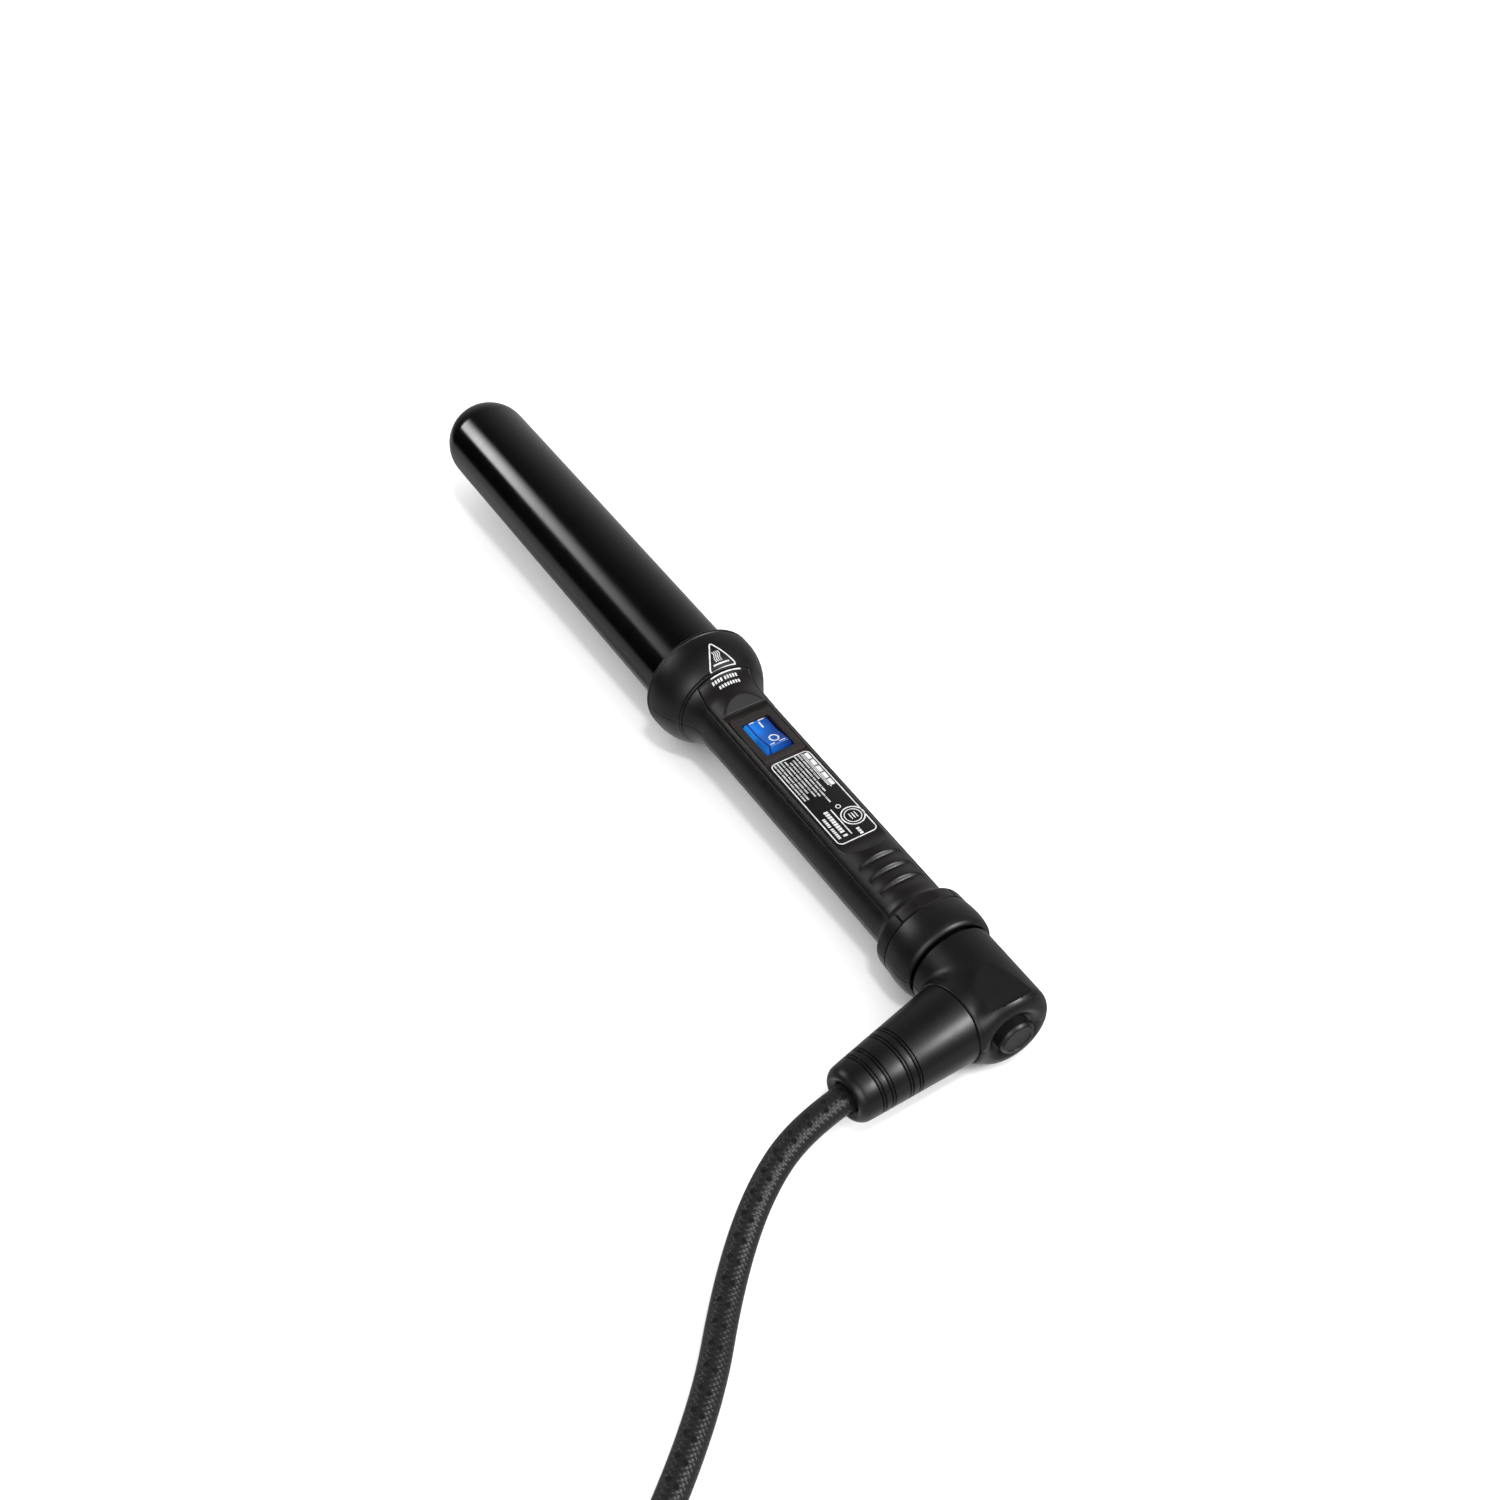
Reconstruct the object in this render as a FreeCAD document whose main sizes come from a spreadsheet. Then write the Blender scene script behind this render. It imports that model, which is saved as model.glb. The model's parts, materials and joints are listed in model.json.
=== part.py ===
import FreeCAD, Part
import Sketcher
import math
import os
import re

# A hair curling wand lying on a flat surface: a closed aluminium barrel on a slim two-part handle, with a
# rocker switch, and at the tail an elbow that turns with the mains cord.
#
# Every piece is first made in the wand's own frame: X runs along the barrel's axis towards the tail, X = 0
# is the front face of the heat guard, Z is up through the rocker and Y is across. The wand rests on the
# guard's rim and on the tail collar, so the whole wand is then tipped by a small angle and lifted. The cord,
# its coil and its plug lie level on the surface and are made directly in the level frame.

SIZES = {
    # barrel
    "barrel_radius": 16.0,
    "barrel_wall": 1.6,
    "barrel_length": 177.2,
    "barrel_root": 12.0,
    "barrel_root_radius": 15.7,
    "barrel_step": -0.5,
    # heat guard
    "guard_rim_radius": 20.5,
    "guard_length": 16.2,
    "guard_seam_radius": 16.05,
    "guard_wall": 2.3,
    # handle
    "grip_radius": 12.55,
    "grip_wall": 1.95,
    "handle_end": 135.0,
    "seam_gap": 0.1,
    "flat_height": 9.7,
    "flat_end": 99.0,
    "panel_half_width": 9.5,
    "panel_floor": 7.7,
    # tail collar
    "collar_radius": 16.0,
    "collar_length": 11.4,
    "collar_bore": 12.3,
    # elbow
    "hub_start": 147.4,
    "hub_radius": 14.0,
    "hub_wall": 2.3,
    "tail_end": 178.0,
    "neck_radius": 11.6,
    "cap_radius": 5.9,
    "cap_end": 180.3,
    # strain relief and cord
    "boot_x": 163.4,
    "boot_root_radius": 12.6,
    "boot_tip_radius": 9.0,
    "boot_end": 54.2,
    "boot_neck_radius": 8.6,
    "stub_end": 13.0,
    "stub_radius": 13.1,
    "cord_radius": 4.25,
    # swivel
    "axle_radius": 3.0,
    "running_fit": 0.05,
    "socket_start": 127.0,
    "socket_end": 139.0,
    # rocker switch
    "switch_x": 44.5,
    "bezel_length": 22.6,
    "bezel_width": 15.4,
    "bezel_thickness": 1.3,
    "bezel_proud": 0.3,
    "body_length": 19.4,
    "body_width": 12.8,
    "body_floor": -3.0,
    "rocker_reach": 7.95,
    "rocker_width": 9.4,
    "rocker_pivot_height": 7.2,
    "rocker_gap": 0.3,
    "trunnion_radius": 1.0,
    # label
    "label_start": 57.0,
    "label_length": 41.4,
    "label_width": 15.1,
    "label_thickness": 0.2,
}

LEAN = 8.0               # degrees that the cord's outlet leans back from square to the barrel
ROCKER_THROW = 14.0      # degrees between the rocker's two positions
CORD_LENGTH = 2500.0     # whole cord, from the strain relief to the plug
TURN_PITCH = 8.5         # spacing of neighbouring turns in the coil
INNER_TURN = 34.0        # radius of the coil's innermost turn
OUTER_TURN = 64.5        # radius of its outermost turn
TIE_ANGLE = 100.0        # where round the coil its tie sits
LEAVE_ANGLE = 0.0        # where round the coil the plug's end leaves it

X = FreeCAD.Vector(1, 0, 0)
Y = FreeCAD.Vector(0, 1, 0)
Z = FreeCAD.Vector(0, 0, 1)

doc = FreeCAD.newDocument("curling_wand")
sheet = doc.addObject("Spreadsheet::Sheet", "Dims")
for row, (alias, size) in enumerate(SIZES.items(), start=1):
    sheet.set("A%d" % row, alias)
    sheet.set("B%d" % row, repr(size))
    sheet.setAlias("B%d" % row, alias)
doc.recompute()

nodes = []


def bound(expression):
    """The expression with each size's name pointed at the spreadsheet."""
    def to_cell(match):
        word = match.group(0)
        return "Dims." + word if word in SIZES else word
    return re.sub(r"[a-z_]+", to_cell, str(expression))


def value(expression):
    return float(sheet.evalExpression(bound(expression)))


def vector(x, y, z):
    return FreeCAD.Vector(value(x), value(y), value(z))


# The wand's resting pose: the rim of the guard and the collar's crown both touch the surface.

RIM_REACH = 4.0          # where along the axis the rim touches
COLLAR_REACH = 140.7     # where along the axis the collar touches
rim_drop = value("guard_rim_radius")
collar_drop = value("collar_radius")
TIP = math.degrees(math.atan2(rim_drop - collar_drop, COLLAR_REACH - RIM_REACH))
tipped = FreeCAD.Rotation(Y, TIP)
lowest = min(tipped.multVec(FreeCAD.Vector(x, 0, -r)).z
             for x, r in ((RIM_REACH, rim_drop), (COLLAR_REACH, collar_drop)))
WAND_POSE = FreeCAD.Placement(FreeCAD.Vector(0, 0, -lowest), tipped)
LEVEL = FreeCAD.Placement()


# ---------------------------------------------------------------- helpers

def keep(item, label, pose=WAND_POSE):
    """Make a finished object one of the model's nodes and move it to its resting pose.

    A primitive's own placement is bound to the sheet, so it is wrapped before it is moved.
    """
    if item.isDerivedFrom("Part::Primitive"):
        item.Label = label + "_alone"
        item = grouped(label + "_placed", [item])
    item.Label = label
    item.Placement = pose.multiply(item.Placement)
    nodes.append(item)
    return item


def origin_plane(body, role):
    return next(f for f in body.Origin.OriginFeatures if f.Role == role)


def arc_between(start, end, radius):
    """A short arc from start to end; a positive radius turns left, a negative one right."""
    middle = (start + end) * 0.5
    chord = end - start
    normal = FreeCAD.Vector(-chord.y, chord.x, 0).normalize()
    reach = math.sqrt(max(radius * radius - chord.Length ** 2 / 4.0, 0.0))
    centre = middle + normal * (reach if radius > 0 else -reach)
    first, last = (start, end) if radius > 0 else (end, start)
    angles = [math.atan2(p.y - centre.y, p.x - centre.x) for p in (first, last)]
    return Part.ArcOfCircle(Part.Circle(centre, Z, abs(radius)), angles[0], angles[1])


def closed_sketch(body, name, outline, role="XY_Plane", offset=None):
    """A sketch of one closed outline.

    Each corner is (across, up) or (across, up, radius): with a radius, the line that arrives at that corner
    is an arc. All of them are expressions of the sheet's sizes.
    """
    sketch = body.newObject("Sketcher::SketchObject", name)
    sketch.AttachmentSupport = (origin_plane(body, role), [""])
    sketch.MapMode = "FlatFace"
    if offset is not None:
        sketch.setExpression("AttachmentOffset.Base.z", bound(offset))
    corners = [FreeCAD.Vector(value(c[0]), value(c[1]), 0) for c in outline]
    ends = []
    for index, corner in enumerate(outline):
        start = corners[index - 1]
        end = corners[index]
        if len(corner) == 3:
            radius = value(corner[2])
            edge = sketch.addGeometry(arc_between(start, end, radius))
            ends.append((edge, 1, 2) if radius > 0 else (edge, 2, 1))
        else:
            ends.append((sketch.addGeometry(Part.LineSegment(start, end)), 1, 2))
    for index, corner in enumerate(outline):
        edge, _, end_point = ends[index]
        following, start_point, _ = ends[(index + 1) % len(ends)]
        sketch.addConstraint(Sketcher.Constraint("Coincident", edge, end_point, following, start_point))
        for kind, expression, size in (("DistanceX", corner[0], corners[index].x),
                                       ("DistanceY", corner[1], corners[index].y)):
            number = sketch.addConstraint(Sketcher.Constraint(kind, -1, 1, edge, end_point, size))
            sketch.setExpression("Constraints[%d]" % number, bound(expression))
        if len(corner) == 3:
            number = sketch.addConstraint(Sketcher.Constraint("Radius", edge, abs(value(corner[2]))))
            sketch.setExpression("Constraints[%d]" % number, "abs(%s)" % bound(corner[2]))
    return sketch


def turned(name, outline, angle=360.0, below=False):
    """A body turned about the wand's axis; half turns make the pieces above or below the parting plane."""
    body = doc.addObject("PartDesign::Body", name)
    sketch = closed_sketch(body, name + "_profile", outline)
    turn = body.newObject("PartDesign::Revolution", name + "_turn")
    turn.Profile = (sketch, [""])
    turn.ReferenceAxis = (sketch, ["H_Axis"])
    turn.Angle = angle
    turn.Reversed = below
    body.Tip = turn
    return body


def padded(name, outline, length, role="XY_Plane", start=None, both_ways=False):
    """A body padded from one outline, along the plane's normal from start."""
    body = doc.addObject("PartDesign::Body", name)
    sketch = closed_sketch(body, name + "_outline", outline, role, start)
    pad = body.newObject("PartDesign::Pad", name + "_pad")
    pad.Profile = (sketch, [""])
    pad.setExpression("Length", bound(length))
    pad.Midplane = both_ways
    body.Tip = pad
    return body


def cylinder(name, radius, length, start, direction=X):
    rod = doc.addObject("Part::Cylinder", name)
    rod.setExpression("Radius", bound(radius))
    rod.setExpression("Height", bound(length))
    rod.Placement = FreeCAD.Placement(vector(*start), FreeCAD.Rotation(Z, direction))
    for letter, expression in zip("xyz", start):
        rod.setExpression("Placement.Base." + letter, bound(expression))
    return rod


def cone(name, radius, end_radius, length, start, direction=X):
    taper = doc.addObject("Part::Cone", name)
    taper.setExpression("Radius1", bound(radius))
    taper.setExpression("Radius2", bound(end_radius))
    taper.setExpression("Height", bound(length))
    taper.Placement = FreeCAD.Placement(vector(*start), FreeCAD.Rotation(Z, direction))
    for letter, expression in zip("xyz", start):
        taper.setExpression("Placement.Base." + letter, bound(expression))
    return taper


def box(name, sizes, centre_bottom):
    """A box by its three sizes, with the middle of its bottom face at the given point."""
    block = doc.addObject("Part::Box", name)
    for side, size in zip(("Length", "Width", "Height"), sizes):
        block.setExpression(side, bound(size))
    x, y, z = centre_bottom
    block.setExpression("Placement.Base.x", bound("(%s) - (%s) / 2" % (x, sizes[0])))
    block.setExpression("Placement.Base.y", bound("(%s) - (%s) / 2" % (y, sizes[1])))
    block.setExpression("Placement.Base.z", bound(z))
    return block


def joined(name, *pieces):
    union = doc.addObject("Part::MultiFuse", name)
    union.Shapes = list(pieces)
    return union


def cut(name, base, *tools):
    removal = doc.addObject("Part::Cut", name)
    removal.Base = base
    removal.Tool = tools[0] if len(tools) == 1 else joined(name + "_tools", *tools)
    return removal


def common(name, *pieces):
    overlap = doc.addObject("Part::MultiCommon", name)
    overlap.Shapes = list(pieces)
    return overlap


def grouped(name, pieces):
    """Several separate solids as one node."""
    group = doc.addObject("Part::Compound", name)
    group.Links = list(pieces)
    return group


# ---------------------------------------------------------------- barrel and what it holds

BARREL_SCREWS_X = 7


def bored_for_screws(name, blank):
    """Clearance holes for the two screws that hold the barrel."""
    drill = cylinder(name + "_drill", 1.25, 40, (BARREL_SCREWS_X, -20, 0), Y)
    return cut(name, blank, drill)


def make_barrel():
    tube = turned("barrel_turned", [
        ("barrel_root", "barrel_root_radius"),
        ("barrel_step", "barrel_root_radius"),
        ("barrel_step", "barrel_radius"),
        ("-(barrel_length - barrel_radius)", "barrel_radius"),
        ("-barrel_length", "0", "barrel_radius"),
        ("-(barrel_length - barrel_wall)", "0"),
        ("-(barrel_length - barrel_radius)", "barrel_radius - barrel_wall", "-(barrel_radius - barrel_wall)"),
        ("barrel_root", "barrel_radius - barrel_wall"),
    ])
    keep(bored_for_screws("barrel", tube), "barrel")


SPREADER_START = "-150"
SPREADER_LENGTH = 128
SPREADER_RADIUS = "barrel_radius - barrel_wall - 0.1"


def make_heat_spreaders():
    """Two half-round aluminium blocks that press the heater's heat into the barrel."""
    half_width = "sqrt((%s)^2 - 3.2^2)" % SPREADER_RADIUS
    keep(padded("heat_spreader_upper", [
        (half_width, "3.2"),
        ("-" + half_width, "3.2", SPREADER_RADIUS),
    ], SPREADER_LENGTH, "YZ_Plane", SPREADER_START), "heat_spreader_upper")
    half_width = "sqrt((%s)^2 - 2.3^2)" % SPREADER_RADIUS
    keep(padded("heat_spreader_lower", [
        ("-" + half_width, "-2.3"),
        (half_width, "-2.3", SPREADER_RADIUS),
    ], SPREADER_LENGTH, "YZ_Plane", SPREADER_START), "heat_spreader_lower")


def make_heater():
    keep(box("ptc_heater", (120, 14, 2.6), (-86, 0, -1.3)), "ptc_heater")
    sleeve = box("insulation_outside", (124, 17, 4.4), (-86, 0, -2.2))
    hollow = box("insulation_inside", (126, 14.2, 2.8), (-86, 0, -1.4))
    keep(cut("heater_insulation", sleeve, hollow), "heater_insulation")
    keep(padded("spreader_spring", [
        ("-36", "2.3", -2600),
        ("-36", "2.65"),
        ("-136", "2.65", 2600),
        ("-136", "2.3"),
    ], 9, "XZ_Plane", both_ways=True), "spreader_spring")


def make_thermal_fuse():
    shell = cylinder("fuse_can", 1.9, 10, (-15, 0, 3))
    legs = [cylinder("fuse_leg_%d" % i, 0.4, 3, (x, 0, 3)) for i, x in enumerate((-18, -5))]
    keep(joined("thermal_fuse", shell, *legs), "thermal_fuse")


def make_barrel_holder():
    """A heat-proof bush that plugs the barrel's root and is trapped between guard and handle."""
    bush = turned("barrel_holder_turned", [
        ("-12", "6.5"),
        ("24", "6.5"),
        ("24", "8.9"),
        ("21", "8.9"),
        ("21", "10.2"),
        ("18.6", "10.2"),
        ("18.6", "8.9"),
        ("guard_length - 0.1", "8.9"),
        ("guard_length - 0.1", "12.0"),
        ("14", "12.0"),
        ("14", "15.5"),
        ("barrel_root + 0.1", "15.5"),
        ("barrel_root + 0.1", "barrel_radius - barrel_wall - 0.05"),
        ("-12", "barrel_radius - barrel_wall - 0.05"),
    ])
    keep(bored_for_screws("barrel_holder", bush), "barrel_holder")


def make_barrel_screws():
    """Two screws through the barrel's root, hidden under the guard."""
    screws = []
    for side, toward in (("near", -1), ("far", 1)):
        direction = Y * toward
        head = cylinder("barrel_screw_head_" + side, 2.4, 1.1,
                        (BARREL_SCREWS_X, "%d * (barrel_root_radius + 0.05)" % toward, 0), direction)
        shank = cylinder("barrel_screw_shank_" + side, 1.2, 6,
                         (BARREL_SCREWS_X, 10.5 * toward, 0), direction)
        screws.append(joined("barrel_screw_" + side, head, shank))
    keep(grouped("barrel_screws", screws), "barrel_screws")


# ---------------------------------------------------------------- guard, handle and collar

GUARD = [
    ("0", "barrel_radius + 0.1"),
    ("0", "guard_rim_radius - 0.9"),
    ("0.9", "guard_rim_radius", "-0.9"),
    ("1.5", "guard_rim_radius"),
    ("1.75", "guard_rim_radius - 0.35"),
    ("2.0", "guard_rim_radius"),
    ("4.0", "guard_rim_radius"),
    ("guard_length", "guard_seam_radius", "-19"),
    ("guard_length", "12.1"),
    ("14.1", "12.1"),
    ("14.1", "15.6"),
    ("12.0", "16.4"),
    ("8.0", "guard_rim_radius - guard_wall"),
    ("3.0", "guard_rim_radius - guard_wall"),
    ("3.0", "barrel_radius + 0.1"),
]

GRIP_OUTSIDE = [
    ("guard_length + seam_gap", "guard_seam_radius - 0.05"),
    ("24.7", "grip_radius + 0.45", "13"),
    ("33", "grip_radius + 0.2"),
    ("126.6", "grip_radius - 0.1"),
    ("129.7", "grip_radius + 1.7", "3.6"),
    ("131.9", "grip_radius + 2.9", "-2.5"),
    ("handle_end", "grip_radius + 3.0"),
]

GRIP_INSIDE = [
    ("handle_end", "grip_radius - grip_wall"),
    ("18.3", "grip_radius - grip_wall"),
    ("18.3", "9.1"),
    ("guard_length + seam_gap", "9.1"),
]

COLLAR = [
    ("handle_end + seam_gap", "collar_bore"),
    ("handle_end + seam_gap", "collar_radius - 0.4"),
    ("handle_end + 5.7", "collar_radius", "-41"),
    ("handle_end + 9.8", "collar_radius - 0.4", "-22"),
    ("handle_end + collar_length", "collar_radius - 1.6", "-2.6"),
    ("handle_end + collar_length", "collar_bore"),
]

PANEL_LIFT = 30          # taller than anything that the cuts above the handle must clear


def top_cut(name):
    """The space above the flat: it ramps down from the guard, runs level and rises again to the grip."""
    return padded(name, [
        ("25.6", "13.3"),
        ("30.2", "flat_height + 0.7"),
        ("30.5", "flat_height"),
        ("flat_end", "flat_height"),
        ("105.5", "12.7", "9"),
        ("105.5", PANEL_LIFT),
        ("25.6", PANEL_LIFT),
    ], 40, "XZ_Plane", both_ways=True)


def make_guard():
    """The flared guard that keeps the fingers off the barrel, in two half shells."""
    keep(turned("guard_upper", GUARD, 180), "guard_upper")
    keep(turned("guard_lower", GUARD, 180, below=True), "guard_lower")


GRIP_SCREWS_X = (59.5, 117.5)


def screw_post(name, x, bottom, top, upper):
    """A post for a closing screw, hollow where the screw goes."""
    post = cylinder(name + "_post", 2.6, "%s - (%s)" % (top, bottom), (x, 0, bottom), Z)
    drill = cylinder(name + "_drill", 1.25 if upper else 1.35, 40, (x, 0, -20), Z)
    return post, drill


def make_handle_shells():
    """Upper and lower grip shells, the upper with a slot for the cover strip."""
    upper = turned("grip_upper_turned", GRIP_OUTSIDE + GRIP_INSIDE, 180)
    slot = box("cover_slot", ("handle_end", "2 * panel_half_width + 0.2", PANEL_LIFT),
               ("guard_length + handle_end / 2 - 1", 0, "panel_floor - 0.05"))
    posts = [screw_post("grip_upper_%d" % i, x, 1, 7.6, True) for i, x in enumerate(GRIP_SCREWS_X)]
    ledges = [box("grip_ledge_%d" % i, (8, 17.6, 1.6), (x, 0, 6.0)) for i, x in enumerate(GRIP_SCREWS_X)]
    body = cut("grip_upper_slotted", upper, slot, top_cut("grip_flat"))
    body = joined("grip_upper_posted", body, *ledges, *(post for post, _ in posts))
    keep(cut("handle_upper_shell", body, *(drill for _, drill in posts)), "handle_upper_shell")

    lower = turned("grip_lower_turned", GRIP_OUTSIDE + GRIP_INSIDE, 180, below=True)
    posts = [screw_post("grip_lower_%d" % i, x, -11.4, 0.9, False) for i, x in enumerate(GRIP_SCREWS_X)]
    wells = [cylinder("grip_well_%d" % i, 2.1, 6, (x, 0, -15), Z) for i, x in enumerate(GRIP_SCREWS_X)]
    body = joined("grip_lower_posted", lower, *(post for post, _ in posts))
    keep(cut("handle_lower_shell", body, *wells, *(drill for _, drill in posts)), "handle_lower_shell")


def make_handle_screws():
    screws = []
    for i, x in enumerate(GRIP_SCREWS_X):
        head = cylinder("grip_screw_head_%d" % i, 2.0, 1.4, (x, 0, -10.4), Z)
        shank = cylinder("grip_screw_shank_%d" % i, 1.2, 14.5, (x, 0, -9.0), Z)
        driver = cylinder("grip_screw_socket_%d" % i, 0.8, 1.0, (x, 0, -10.6), Z)
        screws.append(cut("grip_screw_%d" % i, joined("grip_screw_solid_%d" % i, head, shank), driver))
    keep(grouped("handle_screws", screws), "handle_screws")


GRIP_NOTCHES_X = (108.5, 114.1, 119.8)


def make_top_cover():
    """The strip along the top of the handle that carries the switch, the label and the thumb notches."""
    outside = turned("cover_turned", GRIP_OUTSIDE + [
        ("handle_end", "0"),
        ("guard_length + seam_gap", "0"),
    ])
    strip = box("cover_strip", ("handle_end - guard_length - seam_gap", "2 * panel_half_width", PANEL_LIFT),
                ("(handle_end + guard_length + seam_gap) / 2", 0, "panel_floor"))
    blank = common("cover_blank", outside, strip)
    recess = box("bezel_recess", ("bezel_length + 0.2", "bezel_width + 0.2", PANEL_LIFT),
                 ("switch_x", 0, "flat_height + bezel_proud - bezel_thickness"))
    window = box("switch_window", ("body_length + 0.2", "body_width + 0.2", PANEL_LIFT),
                 ("switch_x", 0, 0))
    hollows = [cylinder("cover_hollow_front", "grip_radius - grip_wall", 9.3, ("guard_length", 0, 0)),
               cylinder("cover_hollow_rear", "grip_radius - grip_wall", "handle_end - 105.4", (105.5, 0, 0))]
    notches = []
    for i, x in enumerate(GRIP_NOTCHES_X):
        notches.append(padded("thumb_notch_%d" % i, [
            (x, "grip_radius + 0.6"),
            (x, "grip_radius - 0.75"),
            (x + 2.6, "grip_radius + 0.6"),
        ], 15.2, "XZ_Plane", both_ways=True))
    keep(cut("top_cover", blank, top_cut("cover_flat"), recess, window, *hollows, *notches), "top_cover")


def make_collar():
    keep(turned("collar_upper", COLLAR, 180), "collar_upper")
    keep(turned("collar_lower", COLLAR, 180, below=True), "collar_lower")


# ---------------------------------------------------------------- rocker switch

ROCKER_TILT = FreeCAD.Rotation(Y, -ROCKER_THROW / 2.0)


def make_switch_housing():
    bezel_floor = "flat_height + bezel_proud - bezel_thickness"
    bezel = box("bezel", ("bezel_length", "bezel_width", "bezel_thickness"), ("switch_x", 0, bezel_floor))
    body = box("switch_body", ("body_length", "body_width", "(%s) - body_floor" % bezel_floor),
               ("switch_x", 0, "body_floor"))
    well = box("rocker_well", ("2 * (rocker_reach + rocker_gap)", "rocker_width + 2 * rocker_gap", PANEL_LIFT),
               ("switch_x", 0, "body_floor + 1.8"))
    pivots = cylinder("pivot_holes", "trunnion_radius + running_fit", 12,
                      ("switch_x", -6, "rocker_pivot_height"), Y)
    keep(cut("switch_housing", joined("switch_housing_solid", bezel, body), well, pivots), "switch_housing")


def make_rocker():
    """The lit rocker, drawn level about its pivot and then tipped to the pressed position."""
    reach = "rocker_reach"
    rocker = padded("rocker_key", [
        (reach + " * cos(28)", reach + " * sin(28)", reach),
        ("0", "2.9"),
        ("-(%s) * cos(28)" % reach, reach + " * sin(28)"),
        ("-(%s) * cos(20)" % reach, "-(%s) * sin(20)" % reach, reach),
        (reach + " * cos(20)", "-(%s) * sin(20)" % reach),
    ], "rocker_width", "XZ_Plane", both_ways=True)
    trunnions = cylinder("rocker_trunnions", "trunnion_radius", 11.6, (0, -5.8, 0), Y)
    key = joined("rocker", rocker, trunnions)
    key.Placement = FreeCAD.Placement(vector("switch_x", 0, "rocker_pivot_height"), ROCKER_TILT)
    keep(key, "rocker")


def make_switch_insides():
    keep(cylinder("switch_lamp", 1.3, 7, (41, 0, 0.9)), "switch_lamp")
    bar = box("contact_bar", (12, 4, 0.6), (44.5, 0, -1.19))
    keep(bar, "switch_contact")
    blades = [box("terminal_%d" % i, (0.8, 4.8, 6), (44.5 + step, 0, "body_floor - 6"))
              for i, step in enumerate((-7, 0, 7))]
    keep(grouped("switch_terminals", blades), "switch_terminals")


def make_label():
    keep(box("rating_label", ("label_length", "label_width", "label_thickness"),
             ("label_start + label_length / 2", 0, "flat_height")), "rating_label")


# ---------------------------------------------------------------- electronics in the handle

def make_control_board():
    keep(box("control_board", (44, 15, 1.6), (89, 0, -1.6)), "control_board")
    parts = [
        box("board_relay", (12, 10, 6), (76, 0, 0)),
        cylinder("board_capacitor", 3.0, 9, (88, 0, 3.01)),
        box("board_driver", (6, 6, 2.4), (102, -2, 0)),
        box("board_fuse", (5, 3, 3), (107, 4, 0)),
    ]
    keep(grouped("board_parts", parts), "board_parts")


def make_leads():
    """Insulated leads: heater to board, and board to the swivel's contacts."""
    heater = [cylinder("heater_lead_%d" % i, 0.9, 75, (-20, y, -4)) for i, y in enumerate((-3.4, 3.4))]
    keep(grouped("heater_leads", heater), "heater_leads")
    supply = [cylinder("supply_lead_%d" % i, 0.9, 10.9, (116, y, 0)) for i, y in enumerate((-7.5, 7.5))]
    keep(grouped("supply_leads", supply), "supply_leads")


# ---------------------------------------------------------------- swivel

def make_swivel_socket():
    """The fixed half of the swivel: an insulating bush with two contact rings on its face."""
    bush = turned("swivel_socket", [
        ("socket_start", "axle_radius + running_fit"),
        ("socket_end", "axle_radius + running_fit"),
        ("socket_end", "10.2"),
        ("handle_end", "10.2"),
        ("handle_end", "grip_radius - grip_wall - 0.05"),
        ("socket_start", "grip_radius - grip_wall - 0.05"),
    ])
    keep(bush, "swivel_socket")
    for name, inner, outer in (("contact_ring_live", 4.6, 6.0), ("contact_ring_neutral", 7.6, 9.0)):
        keep(turned(name, [
            ("socket_end", inner),
            ("socket_end + 0.6", inner),
            ("socket_end + 0.6", outer),
            ("socket_end", outer),
        ]), name)


def make_swivel_axle():
    """The hollow axle that the elbow turns with, and the ring that holds it in the socket."""
    axle = turned("swivel_axle", [
        ("122", "1.4"),
        ("174.6", "1.4"),
        ("174.6", "5.0"),
        ("172.2", "5.0"),
        ("172.2", "axle_radius"),
        ("122", "axle_radius"),
    ])
    keep(axle, "swivel_axle")
    keep(turned("axle_retaining_ring", [
        ("124.6", "axle_radius"),
        ("126.4", "axle_radius"),
        ("126.4", "5.6"),
        ("124.6", "5.6"),
    ]), "axle_retaining_ring")


def make_brush_carrier():
    """The turning half of the swivel, with a sprung brush for each contact ring."""
    keep(turned("brush_carrier", [
        ("141.2", "axle_radius + 0.02"),
        ("144.0", "axle_radius + 0.02"),
        ("144.0", "9.2"),
        ("141.2", "9.2"),
    ]), "brush_carrier")
    brushes = [cylinder("brush_%d" % i, 0.6, 1.25, (139.95, y, 0)) for i, y in enumerate((-5.3, 8.3))]
    keep(grouped("contact_brushes", brushes), "contact_brushes")


# ---------------------------------------------------------------- elbow

HUB_OUTSIDE = [
    ("hub_start - 6.3", "neck_radius"),
    ("hub_start", "neck_radius"),
    ("hub_start", "hub_radius - 0.3"),
    ("hub_start + 0.3", "hub_radius", "-0.35"),
    ("tail_end - 4.6", "hub_radius"),
    ("tail_end", "hub_radius - 4.6", "-4.6"),
    ("tail_end", "8.6"),
    ("tail_end - 1.6", "cap_radius + 0.7", "2.8"),
]

HUB_INSIDE = [
    ("tail_end - 1.6", "3.2"),
    ("tail_end - 8", "3.2"),
    ("tail_end - 8", "hub_radius - hub_wall"),
    ("hub_start + 0.9", "hub_radius - hub_wall"),
    ("hub_start + 0.9", "9.4"),
    ("hub_start - 6.3", "9.4"),
]

outlet = FreeCAD.Vector(math.sin(math.radians(LEAN)), -math.cos(math.radians(LEAN)), 0)
BOOT_FRAME = FreeCAD.Placement(vector("boot_x", 0, 0), FreeCAD.Rotation(X, outlet))
ELBOW_SCREWS = ((152.4, 8.2), (170.0, 8.2))


def along_boot(item):
    """Turn a piece drawn along X so that it lies along the cord's outlet."""
    item.Placement = BOOT_FRAME
    return item


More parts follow.
